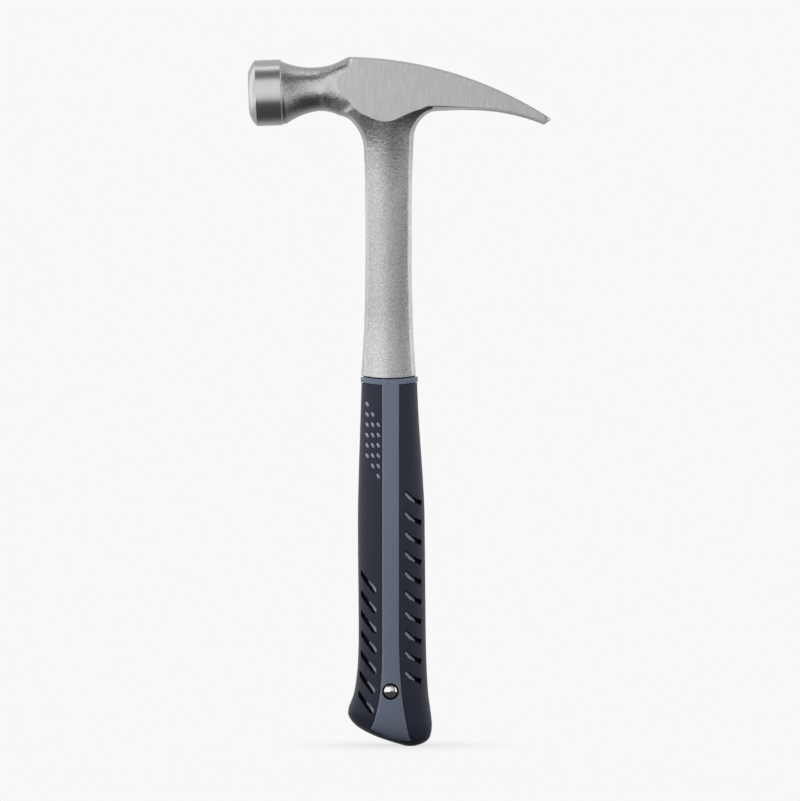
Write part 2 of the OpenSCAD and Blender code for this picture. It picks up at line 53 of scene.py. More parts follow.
# Extents of the cutting solids, well outside the part, and their spans in degrees
FAR = 60.0
GRIND_LOW = 270.0
GRIND_TOP = 400.0
GRIND_RIGHT = 140.0
CUT_SIDE = 30.0
CUT_LOW = 150.0
WIDE_CUT = 40.0
ZONE_TOP = 8.0
HOLE_TOP = 20.0
SHOULDER_SPAN = 25.0
COLLAR_SPAN = 28.0
LIP_SPAN = 20.0
# Where a ray starts that looks for the skin, in metres
PROBE_Y = -0.1
# How close a face is to a cheek or a tip facet that it is part of
CHEEK_MATCH = 0.9999
CHEEK_NEAR = 0.02
FACET_MATCH = 0.999
FACET_X = 60.0
# Angles in degrees above which an edge is shaded sharp
STEEL_CREASE = 18
CORE_CREASE = 24
SOFT_CREASE = 30
DOT_CREASE = 60
RIVET_CREASE = 40

# Head block and claw
OVERALL_H = 335.0
FACE_REACH = 68.0
CLAW_REACH = 79.0
CHEEK_W = 25.0
CROWN_R = 184.0
CROWN_X = 21.5
DRAFT = math.radians(6)
RIDGE_R = 0.5
CLAW_DROP = 26.4
CLAW_BEND_X = 40.0
CLAW_BEND_R = 95.0
TIP_SLANT = math.radians(35)
TIP_CORNER_R = 4.0
NOTCH_LEN = 43.0
NOTCH_W = 10.0
NOTCH_ROOT_R = 1.3
NOTCH_LEAN = 1.2
NOTCH_TURN = (95, 265)
# Steel ground off each cheek, and the rounding of the forging's edges before that
GRIND = 1.3
TOP_EDGE = 2.0
LOW_EDGE = 3.5
# Where the claw's underside loses its draft and turns level across
FORK_X = 22.0
FORK_RUN = 26.0
FORK_RISE = 0.9
FORK_EDGE = 1.2

# Bell and neck
BELL_D = 32.0
BELL_LEN = 17.0
BELL_BACK = 1.4
BELL_DROP = 17.9
FACE_D = 19.6
FACE_RAKE = math.radians(2)
BEVEL_LEN = 3.6
BEVEL_BOW = 0.38
NECK_D = 21.2
NECK_RISE = math.radians(5.4)
WAIST_REACH = 33.5
WAIST_SHEAR = 0.22
NECK_FLARE_R = 20.0
NECK_FLARE_STOP = 12.0
LOW_FLARE_STOP = 10.3
FLARE_LEAN = 0.13
BLOCK_SHARE = 0.9
OVERLAP = 1.0
# Growth of the neck's width past its waist, and of its squareness, above and below its axis
MIDDLE_BAND = 3.0
NECK_GAIN = 1.95
NECK_GAIN_RUN = 11.0
HIGH_GAIN = 0.1
HIGH_GAIN_START = 10.0
LOW_GAIN = 0.2
LOW_GAIN_START = 8.0
LOW_GAIN_SOFT = 2.5
SQUARE_LOW = 0.9
SQUARE_MORE = 0.3
SQUARE_START = -2.0
SQUARE_RUN = 12.0
# Hollow below the cheek's slanted lower edge at the neck
VEE_X = -24.1
VEE_Z = 315.6
VEE_SLOPE = 0.73
VEE_FALL = 0.42
VEE_BOW = 0.03
VEE_TOP = 317.5
VEE_LOW = 302.0
VEE_LEFT = -30.0
VEE_RIGHT = -12.0
VEE_REACH = 12.0

# Shank and tang
SHANK_W = 22.7
SHANK_T = 13.0
SIDE_BAND = 1.7
BAND_SHARE = 0.6
ROOT_GAIN = 0.15
SHOULDER_W = 27.0
SHOULDER_T = 18.0
SHOULDER_LEN = 55.0
ROOT_W = 24.6
ROOT_LEN = 37.0
ROOT_LIMIT = 1.4
NECK_FILLET_R = 20.0
NECK_FILLET_STOP = 0.93
NECK_FILLET_RISE = 1.4
CLAW_FILLET_R = 13.0
CLAW_FILLET_STOP = 0.98
CLAW_FILLET_RISE = 0.5
# The shank thins a little below the head, and then thickens up to the cheeks
SHANK_THIN = 0.8
SHANK_THIN_RUN = 50.0
CHEEK_RISE = 6.8
CHEEK_RUN = 41.0
CHEEK_POWER = 2.0
CHEEK_START = 46.6
# Its hidden top end in the head, which falls off below the neck
SHANK_TOP = 4.0
SHANK_TOP_X = -13.5
SHANK_TOP_FALL = 0.65
SHANK_TAIL = 3.0
TANG_W = 18.0
TANG_T = 7.0
TANG_END_Z = 16.0
TANG_TOP = 4.0
TANG_END_STEP = 0.1

# Radii of the blends between the forging's forms
BLOCK_BLEND = 0.5
SHARP_BLEND = 0.8
ROUND_BLEND = 3.2
ROUND_BLEND_RUN = 6.0
ROUND_BLEND_X = -14.5
HOLLOW_BLEND = 1.0
HOLLOW_ROUND = 2.0
HOLLOW_ROUND_X = -16.0
HOLLOW_ROUND_RUN = 8.0
# Grid on which the forging's field is worked out
GRID_STEP = 0.45
GRID_LOW = np.array([-55.0, -16.65, 174.0])
GRID_HIGH = np.array([81.0, 16.65, 337.0])
GRID_OUTSIDE = 5.0
LEAST_SLOPE = 0.2

# Grip
COLLAR_Z = 178.0
COLLAR_H = 2.6
COLLAR_R = 65.0
COLLAR_GAP = 0.6
LIP_INSET = 0.8
LIP_GAP = 0.05
GRIP_TOP_W = 26.6
GRIP_TOP_T = 19.0
PALM_W = 32.6
PALM_T = 25.0
BUTT_W = 40.8
BUTT_T = 26.4
GRIP_LEAN = 1.4
HEEL_Z = 16.4
TOE_Z = 10.6
BUTT_END = 0.74
GRIP_POWER = 2.3
CORE_WALL = 1.8
SEAM = 0.2
STRIPE_X = 1.0
STRIPE_W = 8.2
STRIPE_END_W = 19.0
STRIPE_END_Z = 5.4
STRIPE_SLANT = math.radians(17.5)
STRIPE_FLARE = 3.6
STRIPE_SAG = 1.4
STRIPE_DEPTH = 1.5
STRIPE_OVER = 4.0
STRIPE_UNDER = 1.5
STRIPE_CLEAR = 1.0
STRIPE_STEPS = 59
FACE_BOW = 4.0
CLAW_BOW = 2.7
PROUD = 0.4
PROUD_EDGE = 0.06
CHAMFER = 0.7
END_CHAMFER = 0.95
DOTS = 6
DOT_COLUMNS = 3
DOT_PITCH = 5.0
DOT_COLUMN = 2.7
DOT_INSET = 1.85
DOT_DROP = 22.0
DOT_LEAN = math.radians(62)
DOT_LONG = 1.3
DOT_SHORT = 0.62
DOT_SIDES = 20
# Share of a dot's size, and height above the skin
DOT_PROFILE = [(1.0, -0.8), (1.0, 0.0), (0.86, 0.14), (0.6, 0.24), (0.25, 0.28)]
# Slots: outlines in photo pixels from the slot's upper left end, Y down. Ramps have a depth at each corner
CLAW_SLOTS = 10
CLAW_PITCH = 9.62
CLAW_START = (8.33, 124.1)
CLAW_SLOT = [(0, 0), (3.5, 3.2), (7, 6), (11.5, 8.3), (15.8, 9.9), (14.8, 15.1), (8.6, 11.7), (3.4, 8.9),
             (-0.8, 3.7)]
CLAW_RAMP = [((-0.8, 3.7), 0.05), ((0.4, 1.6), 0.8), ((4.8, 5.6), 1.6), ((9.6, 9.9), 2.6), ((8.6, 11.7), 1.5),
             ((3.4, 8.9), 0.35)]
FACE_SLOTS = 7
FACE_PITCH = 9.74
FACE_START = (-13.4, 85.5)
FACE_FOLLOW = 0.8
FACE_SLOT = [(0, 0.6), (0, 5.8), (2.5, 9.8), (5, 13.6), (8, 17.4), (11, 21.4), (13, 23), (15.3, 22.2),
             (15.3, 18.4), (14, 16), (11, 13), (8, 10.2), (5.2, 6.2), (2.2, 2.4), (0.8, 0)]
FACE_RAMP = [((8, 10.2), 1.0), ((8.2, 12.4), 1.8), ((10.8, 16), 1.6), ((14.2, 21.6), 1.2),
             ((15.3, 22.2), 0.5), ((15.3, 18.4), 0.1), ((14, 16), 0.1), ((11, 13), 0.3)]
PIT_DEPTH = 2.2
PIT_LIP = 0.25
RAMP_ROOT = 0.3
RIVET_Z = 26.8
RIVET_D = 7.4
DOME_H = 1.9
SEAT_DEPTH = 0.9
SEAT_GAP = 0.35
TUBE_D = 5.0
TUBE_SHORT = 2.0
RIVET_SIDES = 96

# Places that follow from the sizes
CENTRE_X = (FACE_REACH + FACE_D / 2 * math.sin(FACE_RAKE) - CLAW_REACH) / 2
HALF_CHEEK = CHEEK_W / 2
FACE_Z = OVERALL_H - BELL_DROP
BELL_AXIS = np.array([math.cos(FACE_RAKE), 0, math.sin(FACE_RAKE)])
FACE_CENTRE = np.array([-FACE_REACH, 0, FACE_Z])
BELL_END = FACE_CENTRE + BELL_LEN * BELL_AXIS
NECK_R = NECK_D / 2
NECK_LEN = (-WAIST_REACH - BELL_END[0]) / math.cos(NECK_RISE)
NECK_START_R = BELL_D / 2 - BELL_BACK / 2
NECK_RUN = NECK_START_R - NECK_R
NECK_FRONT_R = (NECK_LEN ** 2 + NECK_RUN ** 2) / (2 * NECK_RUN)
CLAW_Z = OVERALL_H - CLAW_DROP
CROWN_Z = OVERALL_H - CROWN_R
BLOCK_X = BLOCK_SHARE * NECK_FLARE_R - WAIST_REACH
SHOULDER_Z = COLLAR_Z + COLLAR_GAP
ROOT_Z = CLAW_Z + CLAW_FILLET_RISE - CLAW_FILLET_R
NECK_ROOT_Z = CLAW_Z + NECK_FILLET_RISE - NECK_FILLET_R
CHEEK_ROOT_Z = CLAW_Z - CHEEK_START
ARC_Z = COLLAR_Z + COLLAR_R


# Meshes

def add(name, data):
    obj = bpy.data.objects.new(name, data)
    bpy.context.collection.objects.link(obj)
    return obj


def new_object(name, verts, faces):
    """Mesh object from points in millimetres in the shank's frame, with all faces turned outwards."""
    mesh = bpy.data.meshes.new(name)
    points = (np.asarray(verts, dtype=float) + [CENTRE_X, 0, 0]) * MM
    mesh.from_pydata(points.tolist(), [], [list(map(int, f)) for f in faces])
    mesh.validate()
    work = bmesh.new()
    work.from_mesh(mesh)
    bmesh.ops.recalc_face_normals(work, faces=work.faces[:])
    work.to_mesh(mesh)
    work.free()
    return add(name, mesh)


def loft(name, rings):
    """Closed solid through a stack of rings."""
    sides, count = len(rings[0]), len(rings)
    verts = np.concatenate([np.asarray(r, dtype=float) for r in rings])
    faces = []
    for i in range(count - 1):
        for j in range(sides):
            a, b = i * sides + j, i * sides + (j + 1) % sides
            faces.append((a, b, b + sides, a + sides))
    faces.append(tuple(range(sides - 1, -1, -1)))
    faces.append(tuple((count - 1) * sides + j for j in range(sides)))
    return new_object(name, verts, faces)


def full_turn(count):
    return np.arange(count) * 2 * math.pi / count


def revolve(name, profile, origin, axis, sides=256):
    """Solid of a profile of (radius, distance along the axis), turned about an axis in the XZ plane."""
    across, turn = np.array([-axis[2], 0, axis[0]]), full_turn(sides)[:, None]
    ring = np.cos(turn) * across + np.sin(turn) * np.array([0, 1.0, 0])
    return loft(name, [origin + axis * along + radius * ring for radius, along in profile])


def prism(name, outline, low=-FAR, high=FAR, axis="y"):
    """Outline in X and Z extruded along Y, or in X and Y extruded along Z."""
    outline = np.asarray(outline, dtype=float)
    rings = []
    for level in (low, high):
        ring = np.full((len(outline), 3), float(level))
        ring[:, 0] = outline[:, 0]
        ring[:, 2 if axis == "y" else 1] = outline[:, 1]
        rings.append(ring)
    return loft(name, rings)


def discard(obj):
    mesh = obj.data
    bpy.data.objects.remove(obj)
    bpy.data.meshes.remove(mesh)


def combine(obj, other, operation):
    """Boolean of two closed solids. The second one is used up."""
    modifier = obj.modifiers.new("combine", "BOOLEAN")
    modifier.operation = operation
    modifier.solver = "MANIFOLD"
    modifier.object = other
    result = bpy.data.meshes.new_from_object(obj.evaluated_get(bpy.context.evaluated_depsgraph_get()))
    obj.modifiers.clear()
    old = obj.data
    obj.data = result
    result.name = obj.name
    bpy.data.meshes.remove(old)
    discard(other)
    return obj


def cut(obj, other):
    return combine(obj, other, "DIFFERENCE")


def outward(outline, near, side):
    """Solid over an outline in X and Z, from a distance off the middle plane outwards."""
    return prism("cut", outline, *sorted((side * near, side * FAR)))


def centres_and_normals(mesh):
    """Face centres in the shank's frame in millimetres, and face normals."""
    centre = np.empty(len(mesh.polygons) * 3)
    normal = np.empty(len(mesh.polygons) * 3)
    mesh.polygons.foreach_get("center", centre)
    mesh.polygons.foreach_get("normal", normal)
    return centre.reshape(-1, 3) / MM - [CENTRE_X, 0, 0], normal.reshape(-1, 3)


def set_materials(obj, materials, index):
    """Gives each face one of the materials, by its number."""
    obj.data.materials.clear()
    for material in materials:
        obj.data.materials.append(material)
    obj.data.polygons.foreach_set("material_index", np.asarray(index, dtype=np.int32))


def smooth(obj, angle):
    """Smooth shading, with sharp edges above an angle in degrees."""
    obj.data.polygons.foreach_set("use_smooth", np.ones(len(obj.data.polygons), dtype=bool))
    obj.data.set_sharp_from_angle(angle=math.radians(angle))


# Forging: a field that is negative inside the steel, meshed and then ground and cut like the real one

def flare_end(z):
    """Slanted plane at which the neck's flare meets the head block."""
    return BLOCK_X + (z - OVERALL_H) * FLARE_LEAN


def swell(z, start, length):
    """Square of the share of a length that a height is past its start."""
    return np.maximum(0, (z - start) / length) ** 2


def fillet(z, start, r, stop):
    """How far a fillet of radius r reaches out at a height, up to a share of its radius."""
    return r - np.sqrt(r ** 2 - np.clip(z - start, 0, stop * r) ** 2)


def half_width(z):
    """Half of the shank's width at a height, without the fillets at the head."""
    low, high = SHOULDER_Z + SHOULDER_LEN, ROOT_Z - ROOT_LEN
    return (SHANK_W / 2 + (SHOULDER_W - SHANK_W) / 2 * swell(-z, -low, SHOULDER_LEN)
            + (ROOT_W - SHANK_W) / 2 * np.minimum(ROOT_LIMIT, swell(z, high, ROOT_LEN)))


def half_thick(z):
    """Half of the shank's thickness at a height."""
    low = SHOULDER_Z + SHOULDER_LEN
    return (SHANK_T / 2 + (SHOULDER_T - SHANK_T) / 2 * swell(-z, -low, SHOULDER_LEN)
            - SHANK_THIN * ease((z - CHEEK_ROOT_Z) / SHANK_THIN_RUN + 1)
            + CHEEK_RISE * np.maximum((z - CHEEK_ROOT_Z) / CHEEK_RUN, 0) ** CHEEK_POWER)


def ease(t):
    """Smooth step from 0 at t = 0 to 1 at t = 1."""
    t = np.clip(t, 0, 1)
    return t * t * (3 - 2 * t)


def as_distance(field):
    """Divides a field by its own slope, so that it reads as a distance near the surface."""
    slope = np.sqrt(sum(g * g for g in np.gradient(field, GRID_STEP)))
    return field / np.maximum(slope, LEAST_SLOPE)


def soft_ramp(t, width=1.5):
    """Rises from 0 below t = 0 to t above it, without a corner."""
    return width * np.logaddexp(0, t / width)


def draft_lean(y):
    """How far the draft moves a face up or down, with a small rounding along the middle."""
    return np.sqrt(y * y + RIDGE_R ** 2) * math.tan(DRAFT)


def vee_edge(x):
    """Height of the cheek's slanted lower edge at the neck."""
    return VEE_Z - VEE_SLOPE * (x - VEE_X)


def blend_union(a, b, k):
    """Joins two fields, with a blend of size k along the line where they meet."""
    near = np.maximum(k - np.abs(a - b), 0) / k
    return np.minimum(a, b) - near * near * k / 4


def blend_cut(a, b, k):
    """Keeps what lies inside both fields, with an edge rounded by k."""
    return -blend_union(-a, -b, k)


def block_field(x, y, z, top, stock):
    """Head block with its crown, the claw's underside and the slanted edge at the neck."""
    lean = draft_lean(y)
    fork = ease((x - FORK_X) / FORK_RUN)
    sole = lean + (FORK_RISE - lean) * fork
    under = np.where(
        x < CLAW_BEND_X, CLAW_Z + sole - z,
        CLAW_BEND_R - np.sqrt((x - CLAW_BEND_X) ** 2 + (z - sole - CLAW_Z + CLAW_BEND_R) ** 2))
    low_edge = LOW_EDGE + (FORK_EDGE - LOW_EDGE) * fork
    block = blend_cut(blend_cut(top, stock, TOP_EDGE), blend_cut(under, stock, low_edge), BLOCK_BLEND)
    block = np.maximum(block, flare_end(z) - OVERLAP - x)
    return np.maximum(block, (vee_edge(x) - z) * math.cos(math.atan(VEE_SLOPE)))


def neck_field(x, y, z, top, stock):
    """Neck: round at the bell, with a waist, and wider and squarer towards the head block."""
    along = (x - BELL_END[0]) * math.cos(NECK_RISE) + (z - BELL_END[2]) * math.sin(NECK_RISE)
    aside = -(x - BELL_END[0]) * math.sin(NECK_RISE) + (z - BELL_END[2]) * math.cos(NECK_RISE)
    past = along - NECK_LEN
    upward = ease((aside + MIDDLE_BAND) / (2 * MIDDLE_BAND))
    ahead = np.clip(NECK_LEN - along, 0, NECK_LEN)
    behind = np.maximum(past - WAIST_SHEAR * aside, 0)
    behind -= soft_ramp(behind - LOW_FLARE_STOP - (NECK_FLARE_STOP - LOW_FLARE_STOP) * upward)
    round_r = NECK_R + NECK_FRONT_R - np.sqrt(NECK_FRONT_R ** 2 - ahead ** 2)
    tall = round_r + NECK_FLARE_R - np.sqrt(NECK_FLARE_R ** 2 - behind ** 2)
    wide_up = (round_r + NECK_GAIN * ease((past + NECK_GAIN_RUN) / (2 * NECK_GAIN_RUN))
               + HIGH_GAIN * soft_ramp(past - HIGH_GAIN_START))
    wide_low = wide_up + LOW_GAIN * soft_ramp(past - LOW_GAIN_START, LOW_GAIN_SOFT)
    wide = wide_low + (wide_up - wide_low) * upward
    square = 2 + (SQUARE_LOW + SQUARE_MORE * upward) * ease((past - SQUARE_START) / SQUARE_RUN)
    section = (np.abs(y) / wide) ** square + (np.abs(aside) / tall) ** square
    section = (section + TINY) ** (1 / square)
    neck = as_distance((section - 1) * NECK_R)
    neck = np.maximum(neck, -2 * BELL_BACK - along)
    neck = np.maximum(neck, x - flare_end(z) - OVERLAP)
    return np.where(x > -WAIST_REACH, np.maximum(np.maximum(neck, top), stock), neck)


def shank_field(x, y, z, stock):
    """Shank: a bowed face and two narrow side bands, with fillets into the neck and the claw."""
    left = -half_width(z) - fillet(z, NECK_ROOT_Z, NECK_FILLET_R, NECK_FILLET_STOP)
    right = half_width(z) + fillet(z, ROOT_Z, CLAW_FILLET_R, CLAW_FILLET_STOP)
    middle, reach = (left + right) / 2, (right - left) / 2 - SIDE_BAND
    off = np.abs(x - middle)
    share = BAND_SHARE + ROOT_GAIN * ease((z - CHEEK_ROOT_Z) / CHEEK_RUN)
    face = share + (1 - share) * (1 - np.minimum(off / reach, 1) ** 2)
    band = share * (reach + SIDE_BAND - off) / SIDE_BAND
    shank = as_distance(np.abs(y) - half_thick(z) * np.minimum(face, band))
    shank = np.maximum(shank, z - CLAW_Z - SHANK_TOP + SHANK_TOP_FALL * soft_ramp(SHANK_TOP_X - x))
    shank = np.maximum(shank, SHOULDER_Z - SHANK_TAIL - z)
    return np.maximum(shank, stock)


def hollow_field(x, y, z):
    """Surface that falls away below the cheek's slanted edge at the neck, and fades out around it."""
    edge = vee_edge(x)
    vee = (z - edge + soft_ramp(edge - VEE_TOP)) * math.cos(math.atan(VEE_SLOPE))
    away = soft_ramp(VEE_LEFT - x) + 2 * soft_ramp(x - VEE_RIGHT) + soft_ramp(VEE_LOW - z)
    below = np.clip(-vee, 0, VEE_REACH)
    fall = np.abs(y) - HALF_CHEEK - VEE_FALL * vee + VEE_BOW * below ** 2 - away
    return fall / np.hypot(1, VEE_FALL + 2 * VEE_BOW * below)


def forged_body():
    """Forging without its bell and tang, and before its cheeks are ground, as a mesh of its field."""
    count = np.ceil((GRID_HIGH - GRID_LOW) / GRID_STEP).astype(int) + 1
    x, y, z = [
        (GRID_LOW[i] + GRID_STEP * np.arange(count[i])).astype(np.float32).reshape(
            [-1 if j == i else 1 for j in range(3)])
        for i in range(3)]
    top = np.sqrt((x + CROWN_X) ** 2 + (z + draft_lean(y) - CROWN_Z) ** 2) - CROWN_R
    stock = np.abs(y) - HALF_CHEEK - GRIND
    head = blend_union(neck_field(x, y, z, top, stock), block_field(x, y, z, top, stock),
                       SHARP_BLEND + ROUND_BLEND * ease((z - VEE_Z) / ROUND_BLEND_RUN))
    head = np.where(x > -WAIST_REACH, np.maximum(head, top), head)
    body = blend_union(head, shank_field(x, y, z, stock),
                       SHARP_BLEND + ROUND_BLEND / (1 + np.exp(x - ROUND_BLEND_X)))
    body = blend_cut(body, hollow_field(x, y, z),
                     HOLLOW_BLEND + HOLLOW_ROUND * ease((HOLLOW_ROUND_X - x) / HOLLOW_ROUND_RUN))
    grid = openvdb.FloatGrid(GRID_OUTSIDE)
    grid.copyFromArray(np.ascontiguousarray(body, dtype=np.float32))
    points, quads = grid.convertToQuads(isovalue=0.0)
    return new_object("steel_forging_skin", GRID_LOW + np.asarray(points) * GRID_STEP, quads)


def bell_profile():
    """Radius and distance from the face, along the bell's slightly bowed bevel and its side."""
    face_r, bell_r, steps = FACE_D / 2, BELL_D / 2, 24
    t = np.linspace(0, 1, steps + 1)
    r = face_r + (bell_r - face_r) * (t + (np.sin(t * math.pi / 2) - t) * BEVEL_BOW)
    d = BEVEL_LEN * (t + (1 - np.cos(t * math.pi / 2) - t) * BEVEL_BOW)
    rear = [(bell_r, BELL_LEN - BELL_BACK), (bell_r - BELL_BACK, BELL_LEN), (AXIS_R, BELL_LEN)]
    return [(AXIS_R, 0.0)] + list(zip(r, d)) + rear


def notch_ring(z, extra):
    """Outline of the nail notch at a height, widened by an extra gap."""
    root, mouth = CLAW_REACH - NOTCH_LEN + NOTCH_ROOT_R, NOTCH_W / 2 + extra
    r = NOTCH_ROOT_R + extra
    ring = [(root + r * math.cos(a), r * math.sin(a), z) for a in np.radians(np.linspace(*NOTCH_TURN, 25))]
    return ring + [(CLAW_REACH + OVERLAP, -mouth, z), (CLAW_REACH + OVERLAP, mouth, z)]


def hanging_arc(wide, tall, centre_z, span, count):
    """Points in X and Z along the lower arc of an ellipse, with a span in degrees to each side."""
    turn = np.radians(np.linspace(-span, span, count))
    return [(wide * math.sin(a), centre_z - tall * math.cos(a)) for a in turn]


def grind_cheeks(body):
    outline = [(-WAIST_REACH, GRIND_LOW), (GRIND_RIGHT, GRIND_LOW),
               (GRIND_RIGHT, GRIND_TOP), (-WAIST_REACH, GRIND_TOP)]
    for side in (-1, 1):
        cut(body, outward(outline, HALF_CHEEK, side))


def cut_claw(body):
    """Cuts the slanted tip facets and the nail notch, and rounds the tips' corners."""
    crown_z = CROWN_Z + math.sqrt(CROWN_R ** 2 - (CLAW_REACH + CROWN_X) ** 2)
    tip_z = crown_z - NOTCH_W / 2 * math.tan(DRAFT)
    tip_low = (CLAW_REACH - CLAW_DROP * math.cos(TIP_SLANT), tip_z - CLAW_DROP * math.sin(TIP_SLANT))
    cut(body, prism("cut", [
        (CLAW_REACH, OVERALL_H + OVERLAP), (CLAW_REACH, tip_z), tip_low, (CLAW_REACH + FAR, tip_low[1]),
        (CLAW_REACH + FAR, OVERALL_H + OVERLAP)]))
    cut(body, loft("cut", [notch_ring(CLAW_Z - CLAW_DROP / 3, NOTCH_LEAN), notch_ring(OVERALL_H, 0)]))
    corner_x = CLAW_REACH - TIP_CORNER_R
    for side in (-1, 1):
        corner_y, far_y = side * (HALF_CHEEK - TIP_CORNER_R), side * FAR
        arc = [(corner_x + TIP_CORNER_R * math.sin(a), corner_y + side * TIP_CORNER_R * math.cos(a))
               for a in np.linspace(0, math.pi / 2, 17)]
        outline = [(corner_x, far_y)] + arc + [(CLAW_REACH + FAR, corner_y), (CLAW_REACH + FAR, far_y)]
        cut(body, prism("cut", outline, CLAW_Z - FAR, CLAW_Z + FAR, "z"))


def add_bell_and_tang(body):
    """Cuts the shoulder's arc, and adds the turned bell and the tang."""
    arc = hanging_arc(COLLAR_R, ARC_Z - SHOULDER_Z, ARC_Z, SHOULDER_SPAN, 41)
    cut(body, prism("cut", arc + [(CUT_SIDE, CUT_LOW), (-CUT_SIDE, CUT_LOW)]))
    combine(body, revolve("bell", bell_profile(), FACE_CENTRE, BELL_AXIS), "UNION")
    half, end_z, top_z = TANG_W / 2, TANG_END_Z + TANG_W / 2, SHOULDER_Z + TANG_TOP
    turn = np.linspace(TANG_END_STEP, math.pi - TANG_END_STEP, 24)
    outline = [(-half, top_z), (-half, end_z)]
    outline += [(-half * math.cos(a), end_z - half * math.sin(a)) for a in turn]
    outline += [(half, end_z), (half, top_z)]
    combine(body, prism("tang", outline, -TANG_T / 2, TANG_T / 2), "UNION")


def make_forging(materials):
    """Steel forging. Its materials are blasted steel, the turned bell and the tip facets."""
    body = forged_body()
    grind_cheeks(body)
    cut_claw(body)
    add_bell_and_tang(body)
    centre, normal = centres_and_normals(body.data)
    index = np.zeros(len(centre), dtype=np.int32)
    index[(centre - FACE_CENTRE) @ BELL_AXIS < BELL_LEN - BELL_BACK] = 1
    facet = normal @ np.array([math.sin(TIP_SLANT), 0, -math.cos(TIP_SLANT)])
    index[(facet > FACET_MATCH) & (centre[:, 0] > FACET_X)] = 2
    set_materials(body, materials, index)
    smooth(body, STEEL_CREASE)
    from_cheek = np.abs(np.abs(centre[:, 1]) - HALF_CHEEK)
    in_cheek = (np.abs(normal[:, 1]) > CHEEK_MATCH) & (from_cheek < CHEEK_NEAR)
    body.data.polygons.foreach_set("use_smooth", ~in_cheek)
    return body


# Grip

def grip_rows():
    """Rows of the grip's loft from the butt up: X and Z of both edges, and half the thickness."""
    palm_z = (COLLAR_Z + HEEL_Z) / 2
    butt_l, butt_r = GRIP_LEAN / 2 - BUTT_W / 2, GRIP_LEAN / 2 + BUTT_W / 2
    palm_l, palm_r = GRIP_LEAN - PALM_W / 2, GRIP_LEAN + PALM_W / 2
    top_l, top_r = GRIP_LEAN / 4 - GRIP_TOP_W / 2, GRIP_LEAN / 4 + GRIP_TOP_W / 2
    end_x = butt_l + BUTT_END * BUTT_W
    return np.array([
        [end_x - 2.5, 0, end_x + 2.5, 0, 0.16 * BUTT_T],
        [butt_l + 0.5 * BUTT_W, 0.13 * HEEL_Z, end_x + 6, 0.1 * TOE_Z, 0.29 * BUTT_T],
        [butt_l + 0.3 * BUTT_W, 0.31 * HEEL_Z, end_x + 8.8, 0.28 * TOE_Z, 0.385 * BUTT_T],
        [butt_l + 0.11 * BUTT_W, 0.57 * HEEL_Z, butt_r - 0.5, 0.55 * TOE_Z, 0.455 * BUTT_T],
        [butt_l + 0.5, 0.86 * HEEL_Z, butt_r, TOE_Z, 0.49 * BUTT_T],
        [butt_l + 0.3, 1.12 * HEEL_Z, butt_r - 0.8, 1.7 * TOE_Z, BUTT_T / 2],
        [palm_l - 1.4, 1.72 * HEEL_Z, butt_r - 2, 2.65 * TOE_Z, BUTT_T / 2 - 0.2],
        [palm_l + 0.3, 3 * HEEL_Z, palm_r + 0.5, 3 * HEEL_Z, PALM_T / 2],
        [palm_l, palm_z, palm_r, palm_z, PALM_T / 2 - 0.2],
        [palm_l + 0.1, palm_z + 24, palm_r - 0.5, palm_z + 24, PALM_T / 2 - 0.7],
        [top_l - 0.7, COLLAR_Z - 18, top_r + 1, COLLAR_Z - 18, GRIP_TOP_T / 2 + 0.8],
        [top_l, COLLAR_Z + 5, top_r, COLLAR_Z + 5, GRIP_TOP_T / 2]])


ROWS = grip_rows()
# Rows above the butt's curved end
UPPER_ROWS = ROWS[6:]


def smooth_rows(rows, steps):
    """Catmull-Rom curve through the rows."""
    last, out = len(rows) - 1, []
    for i in range(last):
        p, q, r, s = rows[max(0, i - 1)], rows[i], rows[i + 1], rows[min(last, i + 2)]
        for k in range(steps):
            t = k / steps
            out.append(0.5 * (2 * q + (r - p) * t + (2 * p - 5 * q + 4 * r - s) * t ** 2
                              + (3 * q - p - 3 * r + s) * t ** 3))
    return out + [rows[last]]


def power(v, p):
    """Power of the values that keeps their signs."""
    return np.sign(v) * np.abs(v) ** p


def grip_skin(name, grow, steps=12, sides=144):
    """Solid inside the grip's skin, grown outwards."""
    rings = []
    turn = full_turn(sides)
    for row in smooth_rows(ROWS, steps):
        left, right = np.array([row[0], 0, row[1]]), np.array([row[2], 0, row[3]])
        along = (right - left) / 2
        reach = along * (1 + grow / np.linalg.norm(along))
        ring = (left + right) / 2 + reach * power(np.cos(turn), 2 / GRIP_POWER)[:, None]
        ring[:, 1] += (row[4] + grow) * power(np.sin(turn), 2 / GRIP_POWER)
        rings.append(ring)
    return loft(name, rings)


def row_value(z, column):
    """One column of the grip's rows at a height above the butt."""
    return float(np.interp(z, (UPPER_ROWS[:, 1] + UPPER_ROWS[:, 3]) / 2, UPPER_ROWS[:, column]))


def stripe_edges(t, grow):
    """Left and right edge of the stripe, from where it starts to widen, at 0, to its slanted end, at 1."""
    half, end_half, end_z = STRIPE_W / 2 + grow, STRIPE_END_W / 2 + grow, STRIPE_END_Z - grow
    flare_z, rise = STRIPE_FLARE * HEEL_Z, math.tan(STRIPE_SLANT)
    left, right = (half + (end_half - half) * t ** bow for bow in (FACE_BOW, CLAW_BOW))
    return (np.array([STRIPE_X - left, flare_z + (end_z + rise * end_half - flare_z) * t]),
            np.array([STRIPE_X + right, flare_z + (end_z - rise * end_half - flare_z) * t]))


